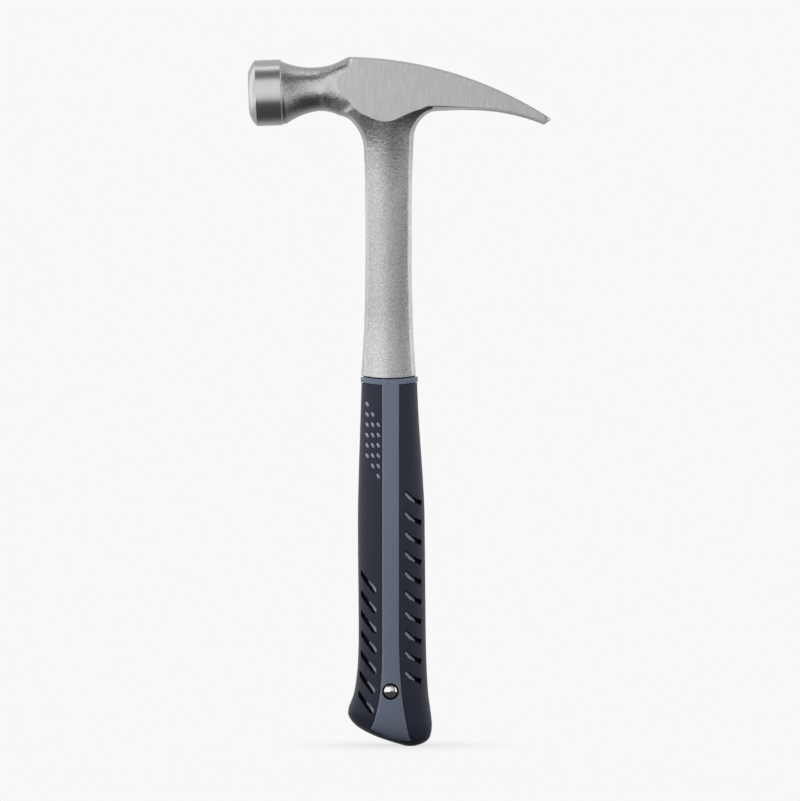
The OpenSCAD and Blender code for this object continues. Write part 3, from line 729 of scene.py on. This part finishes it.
def stripe_outline(grow):
    """Side view of the stripe, grown outwards, up to the collar."""
    edges = [stripe_edges(t, grow) for t in np.linspace(0, 1, 25)]
    last_l, last_r = edges[-1]
    end = [last_l + (last_r - last_l) * v - np.array([0, 4 * STRIPE_SAG * v * (1 - v)])
           for v in np.linspace(0, 1, 13)[1:-1]]
    half, top = STRIPE_W / 2 + grow, COLLAR_Z + STRIPE_OVER
    return ([(STRIPE_X - half, top)] + [e[0] for e in edges] + end
            + [e[1] for e in edges[::-1]] + [(STRIPE_X + half, top)])


def skin_finder():
    """Returns a function that gives the soft grip's half thickness at x and z, measured on its skin."""
    probe = grip_skin("probe", 0)
    mesh = probe.data
    tree = BVHTree.FromPolygons([v.co for v in mesh.vertices], [p.vertices for p in mesh.polygons])
    discard(probe)

    def find(x, z):
        hit = tree.ray_cast(Vector(((x + CENTRE_X) * MM, PROBE_Y, z * MM)), Vector((0, 1, 0)))[0]
        return -hit.y / MM if hit else 0.0
    return find


SKIN_AT = skin_finder()


def slab(name, outer, inner):
    rows, columns = outer.shape[:2]
    verts = np.concatenate([outer.reshape(-1, 3), inner.reshape(-1, 3)])
    shift, faces = rows * columns, []
    for i in range(rows - 1):
        for j in range(columns - 1):
            a = i * columns + j
            quad = (a, a + 1, a + columns + 1, a + columns)
            faces += [quad, tuple(shift + k for k in quad[::-1])]
    rim = (list(range(columns)) + [i * columns + columns - 1 for i in range(1, rows)]
           + [(rows - 1) * columns + j for j in range(columns - 2, -1, -1)]
           + [i * columns for i in range(rows - 2, 0, -1)])
    for a, b in zip(rim, rim[1:] + rim[:1]):
        faces.append((a, a + shift, b + shift, b))
    return new_object(name, verts, faces)


def stripe_slab(name, side):
    """Grey stripe on one side, proud of the soft skin, with a chamfer along its edges and its end."""
    flare_z, top = STRIPE_FLARE * HEEL_Z, COLLAR_Z - STRIPE_UNDER
    lines = [(np.array([STRIPE_X - STRIPE_W / 2, z]), np.array([STRIPE_X + STRIPE_W / 2, z]))
             for z in np.linspace(top, flare_z, STRIPE_STEPS + 1)[:-1]]
    steps = np.concatenate([np.linspace(0, 0.97, 40), [0.985, 1.0]])
    lines += [stripe_edges(t, 0) for t in steps]
    sags = [0.0] * STRIPE_STEPS + list(STRIPE_SAG * steps ** 3)
    end_l, end_r = lines[-1]
    outer, inner = [], []
    for (left, right), sag in zip(lines, sags):
        width = np.linalg.norm(right - left)
        places = np.concatenate([
            [0, CHAMFER / 2, CHAMFER], np.linspace(2 * CHAMFER, width - 2 * CHAMFER, 9),
            [width - CHAMFER, width - CHAMFER / 2, width]]) / width
        row_out, row_in = [], []
        for v in places:
            p = left + (right - left) * v - np.array([0, 4 * sag * v * (1 - v)])
            share = min(1.0, max(0.0, (p[0] - end_l[0]) / (end_r[0] - end_l[0])))
            end_z = end_l[1] + (end_r[1] - end_l[1]) * share - 4 * STRIPE_SAG * share * (1 - share)
            gap = min(v * width, (1 - v) * width, (p[1] - end_z) * END_CHAMFER)
            lift = PROUD_EDGE + (PROUD - PROUD_EDGE) * min(1.0, max(0.0, gap / CHAMFER))
            y = SKIN_AT(p[0], p[1])
            row_out.append((p[0], side * (y + lift), p[1]))
            row_in.append((p[0], side * (y - STRIPE_DEPTH), p[1]))
        outer.append(row_out)
        inner.append(row_in)
    return slab(name, np.array(outer), np.array(inner))


def collar_zone(grow, top):
    """Side view of what lies above the collar's lower arc."""
    r = COLLAR_R + grow
    return hanging_arc(r, r, ARC_Z - COLLAR_H, COLLAR_SPAN, 49) + [(CUT_SIDE, top), (-CUT_SIDE, top)]


def tang_box(name, gap, low, high):
    """Box round the tang, with a gap on all four sides."""
    w, t = TANG_W / 2 + gap, TANG_T / 2 + gap
    return prism(name, [(-w, -t), (w, -t), (w, t), (-w, t)], low, high, "z")


def join(obj, *others):
    """Adds other solids to a mesh as they are."""
    work = bmesh.new()
    for part in (obj,) + others:
        work.from_mesh(part.data)
    work.to_mesh(obj.data)
    work.free()
    for part in others:
        discard(part)
    return obj


def join_as(name, parts, material):
    """One object of many solids, with one material."""
    whole = join(*parts)
    whole.name = name
    whole.data.materials.append(material)
    return whole


def seat_level():
    """Distance of the rivet's seat from the middle plane."""
    return row_value(RIVET_Z, 4) + PROUD - SEAT_DEPTH


def rivet_seat(side):
    """Solid that cuts the rivet's seat into the stripe on one side."""
    turn = full_turn(RIVET_SIDES)
    r = RIVET_D / 2 + SEAT_GAP
    outline = np.stack([STRIPE_X + r * np.cos(turn), RIVET_Z + r * np.sin(turn)], axis=1)
    return outward(outline, seat_level(), side)


def collar_lip():
    """Part of the core inside the grooves above and below the collar, set back from the skin."""
    r = ARC_Z - SHOULDER_Z + LIP_GAP
    arc = hanging_arc(r, r, ARC_Z, LIP_SPAN, 33)
    low = COLLAR_Z - 3 * COLLAR_H
    zone = prism("zone", arc + [(arc[-1][0], low), (arc[0][0], low)])
    return combine(grip_skin("lip", -LIP_INSET), zone, "INTERSECT")


def make_core(materials):
    """Core: collar, sleeve round the tang and stripes. Its materials are grey, and near-black painted shade
    in the grooves and the rivet's seat.
    """
    zone = prism("zone", collar_zone(0, COLLAR_Z + ZONE_TOP))
    core = combine(grip_skin("grip_core_skin", PROUD), zone, "INTERSECT")
    arc = hanging_arc(COLLAR_R, COLLAR_R, ARC_Z, COLLAR_SPAN, 49)
    above = [(WIDE_CUT, COLLAR_Z + WIDE_CUT), (-WIDE_CUT, COLLAR_Z + WIDE_CUT)]
    cut(core, prism("cut", arc + above))
    combine(core, tang_box("sleeve", SEAM + CORE_WALL, TANG_END_Z - CORE_WALL, COLLAR_Z + COLLAR_H), "UNION")
    combine(core, collar_lip(), "UNION")
    cut(core, tang_box("cut", SEAM, TANG_END_Z - SEAM, COLLAR_Z + HOLE_TOP))
    join(core, *(cut(stripe_slab("stripe", side), rivet_seat(side)) for side in (-1, 1)))
    centre = centres_and_normals(core.data)[0]
    # Faces in the grooves and in the rivet's seat get painted shade
    shade_in_groove = np.hypot(centre[:, 0], centre[:, 2] - ARC_Z) < COLLAR_R - 2 * LIP_GAP
    shade_in_seat = np.hypot(centre[:, 0] - STRIPE_X, centre[:, 2] - RIVET_Z) < RIVET_D / 2 + SEAT_GAP
    set_materials(core, materials, shade_in_groove | shade_in_seat)
    smooth(core, CORE_CREASE)
    return core


def slot_places():
    """Start point, outline and ramp of every slot on the front."""
    places = []
    for i in range(CLAW_SLOTS):
        places.append((CLAW_START[0], CLAW_START[1] - i * CLAW_PITCH, CLAW_SLOT, CLAW_RAMP))
    for i in range(FACE_SLOTS):
        z = FACE_START[1] - i * FACE_PITCH
        x = FACE_START[0] + FACE_FOLLOW * (row_value(z, 0) - row_value(FACE_START[1], 0))
        places.append((x, z, FACE_SLOT, FACE_RAMP))
    return places


def well(name, points, low, high, side):
    """Solid over an outline of (x, z), between two depths at each point, on the front or the back."""
    return loft(name, [np.array([(x, side * d, z) for (x, z), d in zip(points, depths)])
                       for depths in (low, high)])


def at(start_x, start_z, outline):
    """Points of an outline in photo pixels from a start point, in millimetres."""
    return [(start_x + u * PIXEL, start_z - v * PIXEL) for u, v in outline]


def make_soft(materials):
    """Soft grip with its slots. Its materials are the skin, and near-black painted shade inside the slots."""
    grip = grip_skin("soft_grip_skin", 0)
    cut(grip, prism("cut", collar_zone(SEAM, COLLAR_Z + WIDE_CUT)))
    cut(grip, prism("cut", stripe_outline(SEAM)))
    for side in (-1, 1):
        for x, z, outline, _ in slot_places():
            points = at(x, z, outline)
            floor = [SKIN_AT(*p) - PIT_DEPTH for p in points]
            cut(grip, well("cut", points, floor, [FAR] * len(points), side))
    centre = centres_and_normals(grip.data)[0]
    # Faces deep inside the slots, away from the stripe, get painted shade
    shade_in_slot = [SKIN_AT(p[0], p[2]) - abs(p[1]) > PIT_LIP for p in centre]
    outside = np.abs(centre[:, 0] - STRIPE_X) > STRIPE_W / 2 + STRIPE_CLEAR
    set_materials(grip, materials, np.array(shade_in_slot) & outside & (centre[:, 2] < CLAW_START[1]))
    smooth(grip, SOFT_CREASE)
    return grip


def make_ramps(material):
    # Ramps of the core in the slots, in the core's plastic painted lighter as a painted highlight
    parts = []
    for side in (-1, 1):
        for x, z, _, ramp in slot_places():
            points = at(x, z, [p for p, _ in ramp])
            floor = [SKIN_AT(*p) - PIT_DEPTH - RAMP_ROOT for p in points]
            tops = [SKIN_AT(*p) - depth for p, (_, depth) in zip(points, ramp)]
            parts.append(well("ramp", points, floor, tops, side))
    return join_as("core_slot_ramps", parts, material)


def dot(x, z, side):
    along = DOT_LONG * np.array([math.cos(DOT_LEAN), -math.sin(DOT_LEAN)])
    across = DOT_SHORT * np.array([math.sin(DOT_LEAN), math.cos(DOT_LEAN)])
    rings = []
    for share, lift in DOT_PROFILE:
        flat = [np.array([x, z]) + share * (math.cos(a) * along + math.sin(a) * across)
                for a in full_turn(DOT_SIDES)]
        rings.append(np.array([(p[0], side * (SKIN_AT(*p) + lift), p[1]) for p in flat]))
    return loft("dot", rings)


def make_dots(material):
    """Small slanted pips of the core that show through the soft skin, in the core's plastic painted lighter
    as a painted highlight.
    """
    parts = []
    for side in (-1, 1):
        for column in range(DOT_COLUMNS):
            for i in range(DOTS):
                x = STRIPE_X - STRIPE_W / 2 - DOT_INSET - DOT_COLUMN * column
                z = COLLAR_Z - DOT_DROP + (column - i) * DOT_PITCH
                parts.append(dot(x, z, side))
    dots = join_as("core_dots", parts, material)
    smooth(dots, DOT_CREASE)
    return dots


def make_rivet(name, side, material):
    """Half of the rivet: a dome on its seat, and the tube below it."""
    seat = seat_level()
    dome_r = ((RIVET_D / 2) ** 2 + DOME_H ** 2) / (2 * DOME_H)
    span = math.asin(RIVET_D / 2 / dome_r)
    low = -2 * seat + TUBE_SHORT
    profile = [(AXIS_R, low), (TUBE_D / 2, low), (TUBE_D / 2, 0.0), (RIVET_D / 2, 0.0)]
    profile += [(max(AXIS_R, dome_r * math.sin(a)), DOME_H - dome_r + dome_r * math.cos(a))
                for a in np.linspace(span, 0, 24)]
    turn = full_turn(RIVET_SIDES)
    rings = [np.stack([STRIPE_X + radius * np.cos(turn), np.full(RIVET_SIDES, side * (seat + along)),
                       RIVET_Z + radius * np.sin(turn)], axis=1) for radius, along in profile]
    rivet = loft(name, rings)
    rivet.data.materials.append(material)
    smooth(rivet, RIVET_CREASE)
    return rivet


# Materials: tones are pairs, dark and light, and places and heights are in metres
# The blasted steel's tones by height are painted light: lighter low on the shank and at the head than along
# the shank
SHANK_TONES = (0.29, 0.29, 0.294, 1), (0.6, 0.6, 0.606, 1)
LOW_LIT_TONES = (0.35, 0.35, 0.355, 1), (0.71, 0.71, 0.717, 1)
LIT_HEAD_TONES = (0.34, 0.34, 0.345, 1), (0.68, 0.68, 0.688, 1)
GROUND_TONES = (0.44, 0.44, 0.445, 1), (0.62, 0.62, 0.625, 1)
BELL_TONES = (0.5, 0.5, 0.505, 1), (0.66, 0.66, 0.665, 1)
SHADED_BEVEL_TONES = (0.38, 0.38, 0.385, 1), (0.58, 0.58, 0.585, 1)
FACET_TONE = (0.62, 0.62, 0.625, 1)
RIVET_TONE = (0.86, 0.86, 0.87, 1)
SOFT_TONE = (0.034, 0.039, 0.066, 1)
# Near-black painted shade for the insides of the slots, the grooves and the rivet's seat
PAINTED_SHADE_TONE = (0.003, 0.004, 0.008, 1)
CORE_TONE = (0.235, 0.275, 0.365, 1)
# The core's plastic made lighter: a painted highlight for the slots' ramps and the dots
LIT_CORE_TONE = (0.45, 0.51, 0.61, 1)
DIM = 0.92
# Where one steel goes over into the next, and where painted light and shade change: the blasted steel is
# painted lighter low on the shank and at the head, and the bell's bevel darker
LOW_LIT_Z = (0.194, 0.21)
HEAD_Z = (0.301, 0.312)
GROUND_Z = (0.298, 0.302)
GROUND_FACING = (0.965, 0.997)
BEVEL_X = (-0.0705, -0.0695)
# Texture spaces, in millimetres, and drawn out along the marks of grinding and turning
EVEN = (1000, 1000, 1000)
GROUND_LINES = (1000, 1000, 60)
TURNED_LINES = (1000, 30, 30)
FACET_LINES = (40, 1000, 40)
EDGE_SAMPLES = 6


def srgb(level):
    """Linear value of a grey level from 0 to 255, by the standard curve."""
    c = level / 255
    return c / 12.92 if c <= 0.04045 else ((c + 0.055) / 1.055) ** 2.4


class Shader:
    """Small helper for node materials. Names of inputs are written with _ for a space."""

    def __init__(self, name, **inputs):
        self.material = bpy.data.materials.new(name)
        self.material.use_nodes = True
        self.tree = self.material.node_tree
        self.bsdf = self.tree.nodes["Principled BSDF"]
        self.fill(self.bsdf, inputs)

    def fill(self, node, inputs):
        for key, value in inputs.items():
            node.inputs[key.replace("_", " ")].default_value = value

    def node(self, kind, **inputs):
        made = self.tree.nodes.new(kind)
        self.fill(made, inputs)
        return made

    def link(self, source, target):
        self.tree.links.new(source, target)

    def feed(self, made, *values):
        """Links sockets to a node's first inputs."""
        for value, socket in zip(values, made.inputs):
            self.link(value, socket)
        return made

    def geometry(self, output):
        return self.node("ShaderNodeNewGeometry").outputs[output]

    def place(self, scale):
        """Object coordinates, scaled."""
        coords = self.node("ShaderNodeTexCoord").outputs["Object"]
        return self.feed(self.node("ShaderNodeMapping", Scale=scale), coords).outputs["Vector"]

    def noise(self, vector, scale, detail, roughness):
        made = self.node("ShaderNodeTexNoise", Scale=scale, Detail=detail, Roughness=roughness)
        return self.feed(made, vector).outputs["Fac"]

    def bump(self, height, strength, distance, normal=None):
        made = self.node("ShaderNodeBump", Strength=strength, Distance=distance)
        self.link(height, made.inputs["Height"])
        if normal:
            self.link(normal, made.inputs["Normal"])
        return made.outputs["Normal"]

    def ramp(self, factor, low, high, a=0.0, b=1.0):
        """Goes from low to high while the factor goes from a to b."""
        made = self.node("ShaderNodeMapRange", From_Min=a, From_Max=b, To_Min=low, To_Max=high)
        return self.feed(made, factor).outputs["Result"]

    def edge(self, radius):
        """Normal that is rounded over the edges."""
        made = self.node("ShaderNodeBevel", Radius=radius)
        made.samples = EDGE_SAMPLES
        return made.outputs["Normal"]

    def split(self, vector):
        return self.feed(self.node("ShaderNodeSeparateXYZ"), vector).outputs

    def math(self, operation, *values, kind="ShaderNodeMath"):
        made = self.node(kind)
        made.operation = operation
        return self.feed(made, *values).outputs["Value"]

    def vector(self, operation, *values):
        return self.math(operation, *values, kind="ShaderNodeVectorMath")

    def blend(self, factor, a, b):
        """Mix of two shaders."""
        return self.feed(self.node("ShaderNodeMixShader"), factor, a, b).outputs[0]

    def mix(self, factor, a, b):
        """Mix of two colours, each a tuple or a socket."""
        made = self.node("ShaderNodeMix")
        made.data_type = "RGBA"
        for socket, tone in ((made.inputs[6], a), (made.inputs[7], b)):
            if isinstance(tone, tuple):
                socket.default_value = tone
            else:
                self.link(tone, socket)
        self.link(factor, made.inputs[0])
        return made.outputs[2]

    def finish(self, shader):
        self.link(shader, self.tree.nodes["Material Output"].inputs["Surface"])
        return self.material


def forged_steel():
    """Blasted steel that goes over into ground steel where the surface turns into the plane of the cheeks."""
    s = Shader("forged_steel", Metallic=1.0)
    edge = s.edge(0.0005)
    even = s.place(EVEN)
    grain = s.noise(even, scale=1.9, detail=4.0, roughness=0.7)
    pits = s.noise(even, scale=0.6, detail=3.0, roughness=0.55)
    pitted = s.bump(pits, strength=0.3, distance=0.0005, normal=edge)
    s.link(s.bump(grain, strength=0.35, distance=0.0003, normal=pitted), s.bsdf.inputs["Normal"])
    speckle = s.ramp(grain, 0, 1, 0.36, 0.64)
    # Painted light: the blasted steel is lighter low on the shank and at the head, and darker along the shank
    # between
    place = s.split(s.geometry("Position"))
    shank = s.mix(speckle, *SHANK_TONES)
    low_lit = s.mix(speckle, *LOW_LIT_TONES)
    shank = s.mix(s.ramp(place["Z"], 0, 1, *LOW_LIT_Z), low_lit, shank)
    head = s.mix(speckle, *LIT_HEAD_TONES)
    s.link(s.mix(s.ramp(place["Z"], 0, 1, *HEAD_Z), shank, head), s.bsdf.inputs["Base Color"])
    s.link(s.ramp(pits, 0.23, 0.33), s.bsdf.inputs["Roughness"])

    ground = s.node("ShaderNodeBsdfPrincipled", Metallic=1.0)
    lines = s.noise(s.place(GROUND_LINES), scale=3.4, detail=4.0, roughness=0.7)
    sparkle = s.noise(even, scale=2.2, detail=2.0, roughness=0.6)
    lined = s.bump(lines, strength=0.5, distance=0.0001, normal=edge)
    s.link(s.bump(sparkle, strength=0.3, distance=0.0001, normal=lined), ground.inputs["Normal"])
    s.link(s.mix(s.ramp(lines, 0, 1, 0.3, 0.7), *GROUND_TONES), ground.inputs["Base Color"])
    s.link(s.ramp(sparkle, 0.32, 0.42), ground.inputs["Roughness"])

    facing = s.math("ABSOLUTE", s.split(s.geometry("Normal"))["Y"])
    in_cheek = s.math("MULTIPLY", s.ramp(facing, 0, 1, *GROUND_FACING), s.ramp(place["Z"], 0, 1, *GROUND_Z))
    return s.finish(s.blend(in_cheek, s.bsdf.outputs[0], ground.outputs[0]))


def turned_steel():
    """Turned steel of the bell, with its bevel painted darker as a painted shade."""
    s = Shader("turned_steel", Metallic=1.0, Roughness=0.3)
    lines = s.noise(s.place(TURNED_LINES), scale=3.0, detail=3.0, roughness=0.6)
    s.link(s.bump(lines, strength=0.35, distance=0.00008), s.bsdf.inputs["Normal"])
    side = s.mix(lines, *BELL_TONES)
    # Painted shade: a darker copy of the turned steel on the bevel
    bevel = s.mix(lines, *SHADED_BEVEL_TONES)
    place = s.split(s.geometry("Position"))
    s.link(s.mix(s.ramp(place["X"], 0, 1, *BEVEL_X), bevel, side), s.bsdf.inputs["Base Color"])
    return s.material


def facet_steel():
    s = Shader("facet_steel", Metallic=1.0, Base_Color=FACET_TONE, Roughness=0.35)
    lines = s.noise(s.place(FACET_LINES), scale=2.0, detail=3.0, roughness=0.6)
    s.link(s.bump(lines, strength=0.3, distance=0.0001), s.bsdf.inputs["Normal"])
    return s.material


def scaled(colour, factor):
    return tuple(c * factor for c in colour[:3]) + (1.0,)


def moulded(name, colour, roughness, grain, radius, edge_highlight=None, sheen=0.0):
    """Moulded plastic with a fine grain and slightly rounded edges, along which a lighter tone can be painted
    as a painted highlight.
    """
    s = Shader(name, Roughness=roughness, Specular_IOR_Level=0.3, Sheen_Weight=sheen, Sheen_Roughness=0.4)
    edge = s.edge(radius)
    texture = s.noise(s.place(EVEN), scale=2.2, detail=3.0, roughness=0.6)
    s.link(s.bump(texture, strength=grain, distance=0.00012, normal=edge), s.bsdf.inputs["Normal"])
    tone = s.mix(texture, scaled(colour, DIM), colour)
    if edge_highlight:
        # Painted highlight: a lighter tone where the rounded normal turns away from the true one
        turn = s.vector("DOT_PRODUCT", edge, s.geometry("Normal"))
        tone = s.mix(s.ramp(turn, 1, 0, 0.93, 0.995), tone, scaled(colour, edge_highlight))
    s.link(tone, s.bsdf.inputs["Base Color"])
    return s.material


def polished():
    """Polished steel of the rivet, with faint smudges."""
    s = Shader("polished_rivet", Metallic=1.0, Base_Color=RIVET_TONE)
    smudge = s.noise(s.place(EVEN), scale=0.6, detail=2.0, roughness=0.5)
    s.link(s.ramp(smudge, 0.04, 0.1), s.bsdf.inputs["Roughness"])
    return s.material


FORGED, TURNED, FACET = forged_steel(), turned_steel(), facet_steel()
SOFT = moulded("soft_moulding", SOFT_TONE, roughness=0.6, grain=0.12, radius=0.0003, sheen=0.5)
# Painted shade: a near-black moulding for faces where shade falls
PAINTED_SHADE = moulded("painted_shade_moulding", PAINTED_SHADE_TONE, roughness=0.9, grain=0.12, radius=0.0003)
# The core's edges carry a painted highlight, 1.45 times lighter
CORE = moulded("core_plastic", CORE_TONE, roughness=0.45, grain=0.06, radius=0.0005, edge_highlight=1.45)
# Core plastic with a painted highlight, for the slots' ramps and the dots
LIT_CORE = moulded("core_plastic_painted_highlight", LIT_CORE_TONE, roughness=0.45, grain=0.06, radius=0.0003)
RIVET = polished()


# Pieces, each with its slot and the CAD nodes it stands in for

for piece, slot, *cad_nodes in (
        (make_forging([FORGED, TURNED, FACET]), "steel", "steel_forging"),
        (make_core([CORE, PAINTED_SHADE]), "core", "grip_core"),
        (make_soft([SOFT, PAINTED_SHADE]), "soft", "soft_grip"),
        (make_ramps(LIT_CORE), "core"),
        (make_dots(LIT_CORE), "core"),
        (make_rivet("rivet_post_dome", -1, RIVET), "rivet", "rivet_post"),
        (make_rivet("rivet_cap_dome", 1, RIVET), "rivet", "rivet_cap")):
    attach(piece, "root")
    if cad_nodes:
        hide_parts(*cad_nodes)


# Stage: a white backdrop, a white floor with a faint shadow below the butt, and soft panels. Sizes in metres
WHITE = srgb(248)
REFLECTED = 0.6
BACKDROP_GREY = 0.8
FLOOR_GREY = 0.1
SHADOW_GREY = 0.9
SHADOW_SHARE = 0.25
SHADOW_REACH = (0.01, 0.06)
# Parts of the floor that reflections see as white
FLOOR_BEHIND = (0.05, 0.35)
FLOOR_BESIDE = (0.28, 0.55)
FLOOR_LEFT_X = (-0.3, -0.1)
FLOOR_LEFT_Y = (-0.26, -0.1)
# Soft panels: place, point they face, width, height, radiance
PANELS = {
    "front_left": ((-0.49, -0.55, 0.445), (-0.49, 0, 0.445), 0.92, 0.89, 1.08),
    "front_right": ((0.21, -0.55, 0.5), (0.21, 0, 0.5), 0.48, 0.78, 0.6),
    "left": ((-1.0, 0.25, 0.75), (0, 0.25, 0.75), 1.6, 1.5, 0.95),
    "right": ((0.9, 0.25, 0.445), (0, 0.25, 0.445), 1.6, 0.89, 0.95),
    "top": ((0, 0.06, 1.25), (0, 0.06, 0), 1.0, 0.28, 1.5)}
WORLD_TONE = (0.14, 0.14, 0.144, 1)


def grey(value):
    return (value, value, value, 1)


def stage_material(name, is_floor):
    """White for the camera, and dimmer for reflections. The floor in front is dark to reflections."""
    s = Shader(name)
    s.tree.nodes.remove(s.bsdf)
    shown = s.node("ShaderNodeEmission", Color=grey(WHITE)).outputs[0]
    plain = s.node("ShaderNodeBsdfDiffuse", Color=grey(FLOOR_GREY if is_floor else BACKDROP_GREY))
    path = s.node("ShaderNodeLightPath")
    seen = s.math("MAXIMUM", path.outputs["Is Glossy Ray"], path.outputs["Is Transmission Ray"])
    seen = s.ramp(seen, 0, REFLECTED)
    if is_floor:
        position = s.geometry("Position")
        place = s.split(position)
        behind = s.ramp(place["Y"], 0, 1, *FLOOR_BEHIND)
        left = s.math("MULTIPLY", s.ramp(place["X"], 1, 0, *FLOOR_LEFT_X),
                      s.ramp(place["Y"], 0, 1, *FLOOR_LEFT_Y))
        beside = s.math("MAXIMUM", left, s.ramp(s.math("ABSOLUTE", place["X"]), 0, 1, *FLOOR_BESIDE))
        seen = s.math("MULTIPLY", seen, s.math("MAXIMUM", behind, beside))
        pale = s.node("ShaderNodeBsdfDiffuse", Color=grey(SHADOW_GREY))
        shadow = s.ramp(s.vector("LENGTH", position), SHADOW_SHARE, 0, *SHADOW_REACH)
        shown = s.blend(shadow, shown, pale.outputs[0])
    seen = s.math("MAXIMUM", seen, path.outputs["Is Camera Ray"])
    shader = s.blend(seen, plain.outputs[0], shown)
    clear = s.node("ShaderNodeBsdfTransparent")
    return s.finish(s.blend(s.geometry("Backfacing"), shader, clear.outputs[0]))


def sheet(name, corners, material):
    mesh = bpy.data.meshes.new(name)
    mesh.from_pydata(corners, [], [(0, 1, 2, 3)])
    mesh.materials.append(material)
    add(name, mesh)


def soft_panel(name, place, target, width, height, radiance):
    """Area lamp with a given radiance, which the camera does not see."""
    data = bpy.data.lights.new(name, "AREA")
    data.shape = "RECTANGLE"
    data.size, data.size_y, data.energy = width, height, radiance * math.pi * width * height
    obj = add(name, data)
    obj.location = place
    obj.rotation_euler = (Vector(target) - Vector(place)).to_track_quat("-Z", "Y").to_euler()
    obj.visible_camera = False


def make_world():
    """Dim surroundings that the camera sees as white."""
    world = bpy.data.worlds.new("studio")
    bpy.context.scene.world = world
    world.use_nodes = True
    nodes, links = world.node_tree.nodes, world.node_tree.links
    nodes["Background"].inputs["Color"].default_value = WORLD_TONE
    pale = nodes.new("ShaderNodeBackground")
    pale.inputs["Color"].default_value = grey(WHITE)
    shown = nodes.new("ShaderNodeMixShader")
    links.new(nodes.new("ShaderNodeLightPath").outputs["Is Camera Ray"], shown.inputs[0])
    links.new(nodes["Background"].outputs[0], shown.inputs[1])
    links.new(pale.outputs[0], shown.inputs[2])
    links.new(shown.outputs[0], nodes["World Output"].inputs["Surface"])


sheet("backdrop", [(-4, 1.2, -3), (4, 1.2, -3), (4, 1.2, 4), (-4, 1.2, 4)], stage_material("backdrop", False))
sheet("floor", [(-4, -4, 0), (4, -4, 0), (4, 1.2, 0), (-4, 1.2, 0)], stage_material("floor", True))
for panel_name, panel_values in PANELS.items():
    soft_panel(panel_name, *panel_values)
make_world()

# Camera at the photograph's place: straight on, far away
SENSOR = 36.0
DISTANCE = 3.0
VIEW_WIDTH = 0.3896
VIEW_X = 0.00024
VIEW_Z = 0.1678
camera = bpy.data.cameras.new("camera")
camera.sensor_width = SENSOR
camera.lens = SENSOR * DISTANCE / VIEW_WIDTH
camera.clip_end = 20.0
holder = add("camera", camera)
holder.location = (VIEW_X, -DISTANCE, VIEW_Z)
holder.rotation_euler = (math.pi / 2, 0, 0)
scene = bpy.context.scene
scene.camera = holder
scene.render.resolution_x, scene.render.resolution_y = 800, 801
scene.view_settings.view_transform = "Standard"
